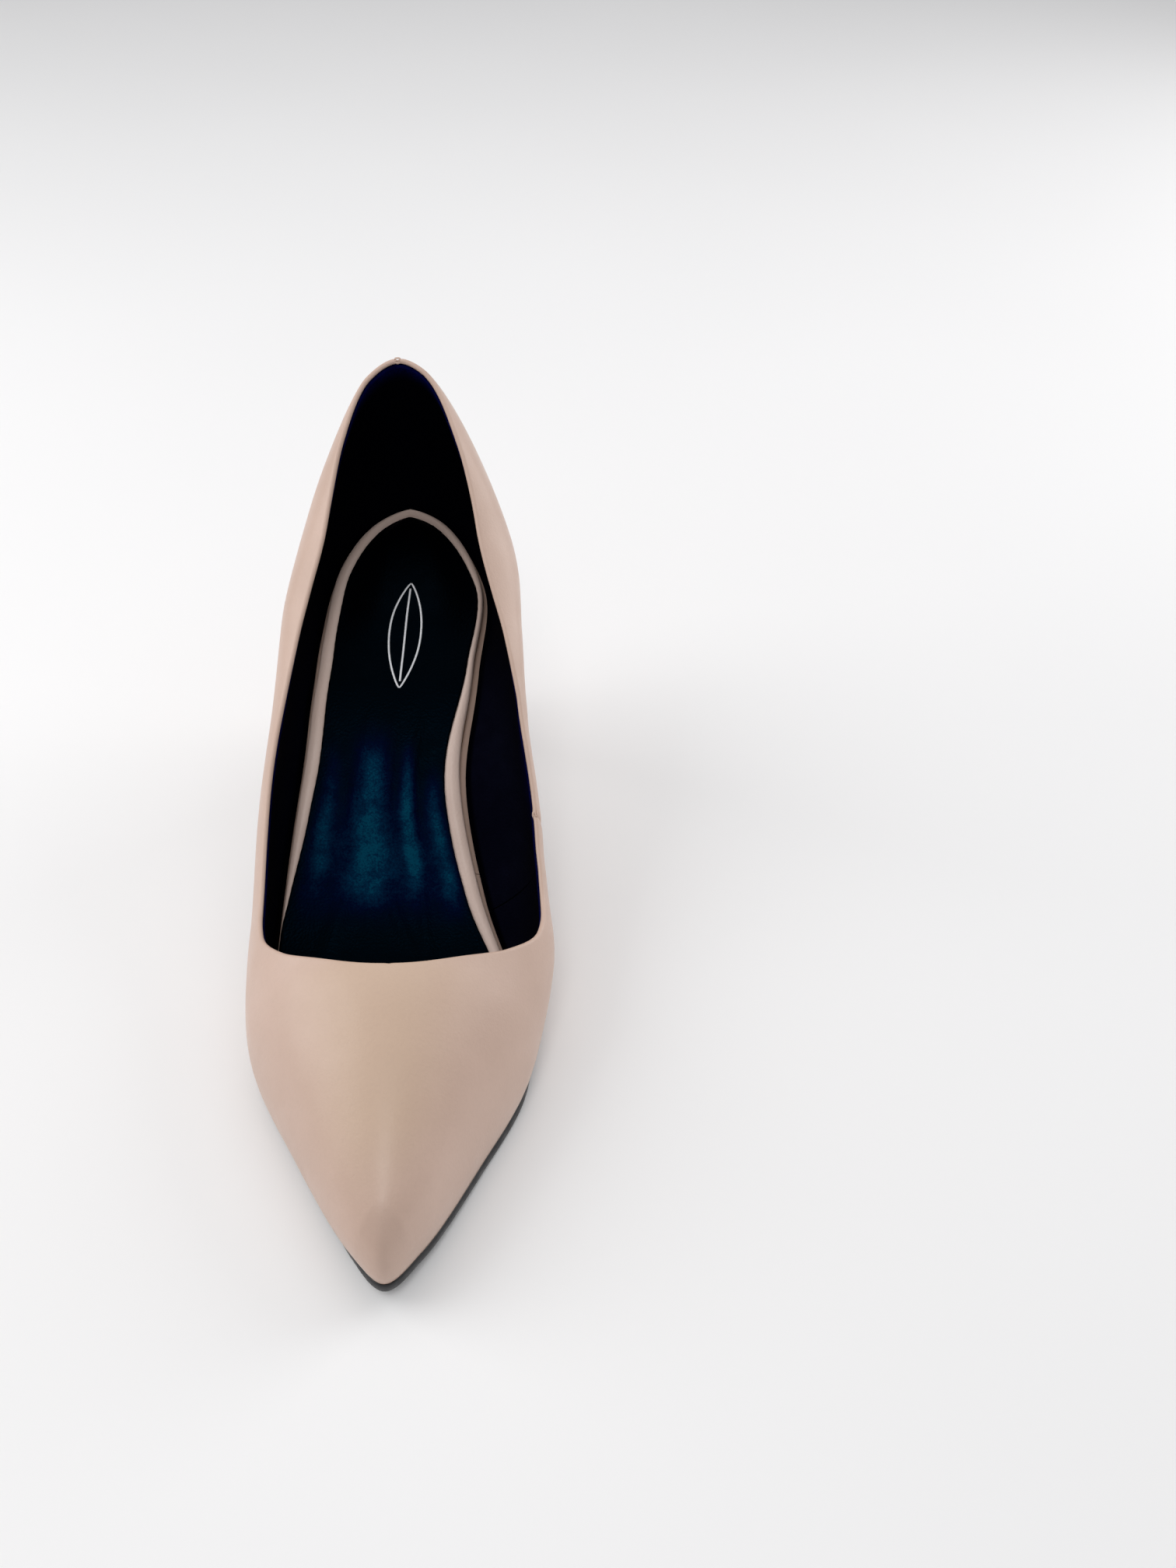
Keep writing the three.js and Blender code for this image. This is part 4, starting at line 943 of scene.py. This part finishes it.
def paint_sock_highlight():
    """Where the black sock is painted with a blue-green highlight over the waist, between its folds: a
    painted reflection of the lamps.
    """
    p = points_of(sock)
    x, y = p[:, 0], p[:, 1]
    left, right = sheet_rows(y, lambda yy, side: lining_clear(yy) + strip_width(yy, side))
    w = (x - left[:, 0]) / np.maximum(right[:, 0] - left[:, 0], 1)
    sway = 0.02 * np.sin(y / 9.0) + 0.012 * np.sin(y / 4.3 + 1)
    bands = np.zeros(len(p))
    for at, wide, strong, low, high in ((0.12, 0.065, 0.6, -3, 40), (0.43, 0.125, 0.95, -8, 44),
                                        (0.70, 0.05, 1.0, -6, 40), (0.90, 0.06, 0.75, -10, 34)):
        along = smooth((y - low) / 15) * smooth((high - y) / 16)
        bands += strong * along * np.exp(-((w - at - sway) / wide) ** 2)
    # a weaker painted highlight spread across the middle of the waist
    highlight_haze = 0.3 * smooth((y + 12) / 14) * smooth((30 - y) / 22) * smooth(w / 0.1) * smooth((1 - w) / 0.1)
    paint(sock, "painted_highlight", bands * 0.85 + highlight_haze)


def paint_rim_light(obj):
    """Closeness to the topline, where light reaches the lining; there the black lining is painted a lighter
    navy, as painted light.
    """
    p = points_of(obj)
    below = bed(p[:, 1]) + profile(TOPLINE, p[:, 1]) - p[:, 2]
    paint(obj, "rim", (1 - smooth(below / 9)) * (1 - smooth((-42 - p[:, 1]) / 4)))


def paint_crown_shade(obj):
    """The middle of the vamp over the toes is painted a little more tan than the sides: painted shade, as the
    lamps at the sides light the crown less.
    """
    p = points_of(obj)
    half = np.maximum(np.interp(p[:, 1], [-117, -100, -83, -50, -30], [3, 14, 24, 35, 36]), 2)
    middle = 1 - smooth((np.abs(p[:, 0] + 2) / half - 0.15) / 0.75)
    paint(obj, "crown", middle * smooth((-40 - p[:, 1]) / 10) * smooth((p[:, 1] + 112) / 26))


paint_sock_highlight()
for lined in (vamp_lining, outer_lining, inner_lining, grip_lining):
    paint_rim_light(lined)
for covered in (vamp, quarter, heel_cover):
    paint_crown_shade(covered)

# ---------------------------------------------------------------- materials


class Look:
    """A node material built up round one Principled shader."""

    def __init__(self, name, **constants):
        self.material = bpy.data.materials.new(name)
        self.material.use_nodes = True
        self.tree = self.material.node_tree
        self.shader = self.tree.nodes["Principled BSDF"]
        for key, value in constants.items():
            self.shader.inputs[key.replace("_", " ")].default_value = value
        self.place = self.tree.nodes.new("ShaderNodeTexCoord").outputs["Object"]
        self.bump_normal = None

    def node(self, kind, **settings):
        made_node = self.tree.nodes.new(kind)
        for key, value in settings.items():
            if hasattr(made_node, key):
                setattr(made_node, key, value)
            else:
                made_node.inputs[key.replace("_", " ")].default_value = value
        return made_node

    def link(self, a, b):
        self.tree.links.new(a, b)

    def share(self, name):
        return self.node("ShaderNodeAttribute", attribute_name=name).outputs["Fac"]

    def noise(self, scale, detail=2.0, rough=0.5, stretch=None):
        where = self.place
        if stretch:
            mapping = self.node("ShaderNodeMapping")
            mapping.inputs["Scale"].default_value = stretch
            self.link(where, mapping.inputs["Vector"])
            where = mapping.outputs["Vector"]
        tex = self.node("ShaderNodeTexNoise", Scale=scale, Detail=detail, Roughness=rough)
        self.link(where, tex.inputs["Vector"])
        return tex.outputs["Fac"]

    def cells(self, scale, feature="F1"):
        tex = self.node("ShaderNodeTexVoronoi", Scale=scale)
        tex.feature = feature
        self.link(self.place, tex.inputs["Vector"])
        return tex.outputs["Distance"]

    def ramp(self, value, stops):
        ramp = self.node("ShaderNodeValToRGB")
        band = ramp.color_ramp
        while len(band.elements) < len(stops):
            band.elements.new(0.5)
        for element, (at, color) in zip(band.elements, stops):
            element.position = at
            element.color = (*color, 1) if len(color) == 3 else color
        self.link(value, ramp.inputs["Fac"])
        return ramp.outputs["Color"]

    def spread(self, value, low, high, start=0.0, end=1.0):
        tool = self.node("ShaderNodeMapRange")
        tool.inputs["From Min"].default_value = start
        tool.inputs["From Max"].default_value = end
        tool.inputs["To Min"].default_value = low
        tool.inputs["To Max"].default_value = high
        self.link(value, tool.inputs["Value"])
        return tool.outputs["Result"]

    def color(self, value):
        self.link(value, self.shader.inputs["Base Color"])

    def roughness(self, value):
        self.link(value, self.shader.inputs["Roughness"])

    def bump(self, value, depth_mm, strength=1.0):
        tool = self.node("ShaderNodeBump", Strength=strength, Distance=depth_mm * 0.001)
        self.link(value, tool.inputs["Height"])
        if self.bump_normal is not None:
            self.link(self.bump_normal, tool.inputs["Normal"])
        self.bump_normal = tool.outputs["Normal"]
        self.link(self.bump_normal, self.shader.inputs["Normal"])

    def mix(self, factor, a, b):
        tool = self.node("ShaderNodeMix")
        tool.data_type = "RGBA"
        self.link(factor, tool.inputs["Factor"])
        for socket, value in ((tool.inputs[6], a), (tool.inputs[7], b)):
            if isinstance(value, tuple):
                socket.default_value = (*value, 1)
            else:
                self.link(value, socket)
        return tool.outputs[2]


def leather_look(name, dark, light, middle=None, rough=(0.36, 0.5), grain=0.03):
    look = Look(name, Specular_IOR_Level=0.45, Coat_Weight=0.22, Coat_Roughness=0.28)
    broad = look.noise(38, 3, 0.55)
    fine = look.noise(900, 4, 0.6)
    base = look.ramp(broad, [(0.3, dark), (0.7, light)])
    # painted shade: over the vamp's crown the colour turns to the middle colour, a little more tan, where
    # less lamp light falls
    if middle:
        base = look.mix(look.share("crown"), base, middle)
    speck = look.spread(fine, 0.0, 0.12, 0.45, 0.75)
    look.color(look.mix(speck, base, tuple(c * 0.82 for c in dark)))
    look.roughness(look.spread(look.noise(120, 3), rough[0], rough[1], 0.3, 0.7))
    look.bump(look.cells(1500), grain)
    look.bump(fine, grain * 0.8)
    look.bump(look.noise(160, 2), 0.05)
    return look.material


def black_look(name, tint, rough, grain, level, stops, share):
    """Black leather; share is the painted attribute that runs along the colour stops, painting light into the
    black.
    """
    look = Look(name, Specular_IOR_Level=level, Specular_Tint=(*tint, 1))
    uneven = look.node("ShaderNodeMath", operation="MULTIPLY")
    look.link(look.share(share), uneven.inputs[0])
    look.link(look.spread(look.noise(170, 5, 0.7), 0.55, 1.25, 0.3, 0.7), uneven.inputs[1])
    pitted = look.node("ShaderNodeMath", operation="MULTIPLY")
    look.link(uneven.outputs[0], pitted.inputs[0])
    look.link(look.spread(look.noise(1700, 3, 0.6), 0.72, 1.2, 0.35, 0.65), pitted.inputs[1])
    look.color(look.ramp(pitted.outputs[0], stops))
    look.roughness(look.spread(look.noise(220, 3), rough[0], rough[1], 0.3, 0.7))
    look.bump(look.cells(1300), grain)
    look.bump(look.noise(2400, 3), grain * 0.6)
    look.bump(look.noise(90, 2), 0.06)
    return look.material


def plain_look(name, dark, light, scale, rough, depth, metal=0.0, stretch=None):
    look = Look(name, Metallic=metal)
    grain = look.noise(scale, 4, 0.6, stretch)
    look.color(look.ramp(grain, [(0.3, dark), (0.7, light)]))
    look.roughness(look.spread(look.noise(scale * 0.4, 3, 0.5, stretch), rough[0], rough[1], 0.3, 0.7))
    look.bump(grain, depth)
    return look.material


# the third colour is the painted shade over the vamp's crown
nude = leather_look("nude_leather", (0.575, 0.408, 0.328), (0.625, 0.448, 0.365), (0.60, 0.432, 0.322))
nude_cover = leather_look(
    "nude_insole_cover", (0.66, 0.5, 0.43), (0.72, 0.56, 0.49), None, (0.45, 0.6), 0.04)
# painted light: the linings' black is painted a lighter navy towards the topline, where the lamps reach it
rim_light_stops = [(0.0, (0.0002, 0.0002, 0.0006)), (0.5, (0.0005, 0.0005, 0.012)), (1.0, (0.001, 0.0014, 0.035))]
lining_black = black_look("lining_black", (0.2, 0.25, 1.0), (0.45, 0.6), 0.03, 0.05, rim_light_stops, "rim")
grip_black = black_look("grip_black", (0.2, 0.3, 1.0), (0.7, 0.85), 0.08, 0.04, rim_light_stops, "rim")
# painted highlight: the navy and teal stops paint the lamps' reflection over the waist into the sock's black
sock_black = black_look(
    "sock_black", (0.05, 0.5, 0.95), (0.3, 0.42), 0.06, 0.035,
    [(0.0, (0.0002, 0.0002, 0.0006)), (0.3, (0.0003, 0.0006, 0.014)), (0.65, (0.0004, 0.016, 0.045)),
     (1.0, (0.0008, 0.045, 0.085))], "painted_highlight")
sole_black = plain_look("sole_black", (0.010, 0.010, 0.012), (0.018, 0.018, 0.021), 700, (0.35, 0.55), 0.04)
tip_black = plain_look("tip_black", (0.012, 0.012, 0.012), (0.02, 0.02, 0.02), 900, (0.6, 0.8), 0.05)
thread_nude = plain_look("thread_nude", (0.55, 0.38, 0.3), (0.72, 0.55, 0.46), 3000, (0.6, 0.8), 0.05)
foil_pale = plain_look("foil_pale", (0.78, 0.79, 0.82), (0.9, 0.9, 0.93), 1200, (0.25, 0.4), 0.01, 0.25)
foam_look = plain_look("latex_foam", (0.7, 0.6, 0.36), (0.85, 0.77, 0.55), 1600, (0.85, 0.95), 0.2)
board_look = plain_look(
    "fibre_board", (0.2, 0.115, 0.06), (0.32, 0.2, 0.115), 800, (0.8, 0.95), 0.05, 0, (1, 0.2, 1))
puff_look = plain_look("stiffener_fleece", (0.42, 0.34, 0.24), (0.55, 0.47, 0.35), 1500, (0.85, 0.95), 0.08)
tape_look = plain_look(
    "woven_tape", (0.02, 0.02, 0.022), (0.05, 0.05, 0.055), 2500, (0.8, 0.9), 0.05, 0, (1, 4, 1))
cork_look = plain_look("cork_filler", (0.32, 0.18, 0.08), (0.52, 0.34, 0.17), 600, (0.85, 0.95), 0.15)
steel_look = plain_look(
    "drawn_steel", (0.42, 0.43, 0.45), (0.56, 0.57, 0.58), 900, (0.28, 0.42), 0.01, 1.0, (8, 0.4, 8))
abs_look = plain_look("moulded_abs", (0.66, 0.62, 0.54), (0.74, 0.7, 0.62), 500, (0.45, 0.6), 0.02)


def dress(obj, material):
    obj.data.materials.clear()
    obj.data.materials.append(material)


for obj in (vamp, quarter, heel_cover):
    dress(obj, nude)
for obj in (vamp_lining, outer_lining, inner_lining):
    dress(obj, lining_black)
dress(grip_lining, grip_black)
dress(cover, nude_cover)
dress(sock, sock_black)
dress(outsole, sole_black)
dress(top_piece, tip_black)
dress(mark, foil_pale)
dress(tape, tape_look)
dress(fore_pad, foam_look)
dress(heel_pad, foam_look)
for obj in (side_stitches, back_stitches):
    dress(obj, thread_nude)
carried = {
    "toe_puff": puff_look, "heel_counter": puff_look, "side_seam_tape": tape_look,
    "insole_board": board_look, "shank_board": board_look, "bottom_filler": cork_look,
    "steel_shank": steel_look, "shank_rivet_front": steel_look, "shank_rivet_rear": steel_look,
    "heel_core": abs_look, "heel_dowel": steel_look, "top_piece_pin": steel_look, "heel_screw": steel_look,
}
carried.update({f"heel_nail_{i}": steel_look for i in range(1, 5)})
for name, material in carried.items():
    for slot in nodes[name].material_slots:
        slot.material = material

# ---------------------------------------------------------------- floor, light and camera


def floor():
    mesh = bpy.data.meshes.new("floor")
    size = 3.0
    corners = [(-size, -size, 0), (size, -size, 0), (size, size, 0), (-size, size, 0)]
    mesh.from_pydata(corners, [], [(0, 1, 2, 3)])
    obj = bpy.data.objects.new("floor", mesh)
    bpy.context.scene.collection.objects.link(obj)
    look = Look("floor_pale", Roughness=0.9, Specular_IOR_Level=0.1)
    look.color(look.ramp(look.noise(3, 2), [(0.3, (0.93, 0.93, 0.935)), (0.7, (0.95, 0.95, 0.955))]))
    dress(obj, look.material)
    return obj


def area_light(name, place, aim, size, power, color=(1, 1, 1)):
    data = bpy.data.lights.new(name, "AREA")
    data.shape = "RECTANGLE"
    data.size, data.size_y = size
    data.energy = power
    data.color = color
    obj = bpy.data.objects.new(name, data)
    bpy.context.scene.collection.objects.link(obj)
    obj.location = place
    obj.rotation_euler = (Vector(aim) - Vector(place)).to_track_quat("-Z", "Y").to_euler()
    return obj


floor()
area_light("left_box", (-0.80, 0.15, 0.60), (0, 0, 0.03), (0.7, 1.0), 5.0, (1.0, 0.985, 0.975))
area_light("right_box", (0.82, 0.45, 0.42), (0, 0, 0.03), (0.6, 0.9), 3.4, (1.0, 0.985, 0.98))
area_light("top_box", (0.05, 0.50, 1.05), (0, 0.05, 0), (1.0, 0.6), 2.3, (0.99, 0.99, 1.0))
area_light("high_front_box", (-0.05, -0.50, 1.00), (0, 0.0, 0.04), (0.32, 0.3), 1.9, (1.0, 0.99, 0.98))

world = bpy.data.worlds.new("studio")
world.use_nodes = True
world.node_tree.nodes["Background"].inputs["Color"].default_value = (0.93, 0.935, 0.945, 1)
world.node_tree.nodes["Background"].inputs["Strength"].default_value = 0.4
bpy.context.scene.world = world
bpy.context.scene.view_settings.view_transform = "Standard"
bpy.context.scene.view_settings.look = "None"

# The camera aims over the middle of a pair, from above the toes. The shoe stands at the left of
# that middle and is turned a little, so the camera is moved and turned the other way about the shoe.
ELEVATION, DISTANCE, ROLL, AIM_HEIGHT = 44.93, 424.2, 2.83, 40
LENS, SENSOR_HEIGHT, SENSOR_WIDTH = 34.325, 36, 27
LENS_SHIFT = (-0.015823, 0.040873)
SHOE_PLACE, SHOE_TURN = (-60.0, -4.0), 0.0862


def place_camera():
    e, roll = math.radians(ELEVATION), math.radians(ROLL)
    back = np.array([0, -math.cos(e), math.sin(e)])
    eye = np.array([0, 0, AIM_HEIGHT]) + back * DISTANCE
    right = np.array([1.0, 0, 0])
    up = np.cross(right, -back)
    right, up = right * math.cos(roll) + up * math.sin(roll), up * math.cos(roll) - right * math.sin(roll)
    c, s = math.cos(-SHOE_TURN), math.sin(-SHOE_TURN)
    turn = np.array([[c, -s, 0], [s, c, 0], [0, 0, 1]])
    eye = turn @ (eye - np.array([*SHOE_PLACE, 0])) + np.array(SHIFT)
    axes = [turn @ a for a in (right, up, back)]
    data = bpy.data.cameras.new("camera")
    data.sensor_fit = "VERTICAL"
    data.sensor_height = SENSOR_HEIGHT
    data.sensor_width = SENSOR_WIDTH
    data.lens = LENS
    data.shift_x, data.shift_y = LENS_SHIFT
    data.clip_start = 0.01
    obj = bpy.data.objects.new("camera", data)
    bpy.context.scene.collection.objects.link(obj)
    matrix = Matrix.Identity(4)
    for column, axis in enumerate(axes):
        for row in range(3):
            matrix[row][column] = axis[row]
    for row in range(3):
        matrix[row][3] = eye[row] * 0.001
    obj.matrix_world = matrix
    bpy.context.scene.camera = obj


place_camera()
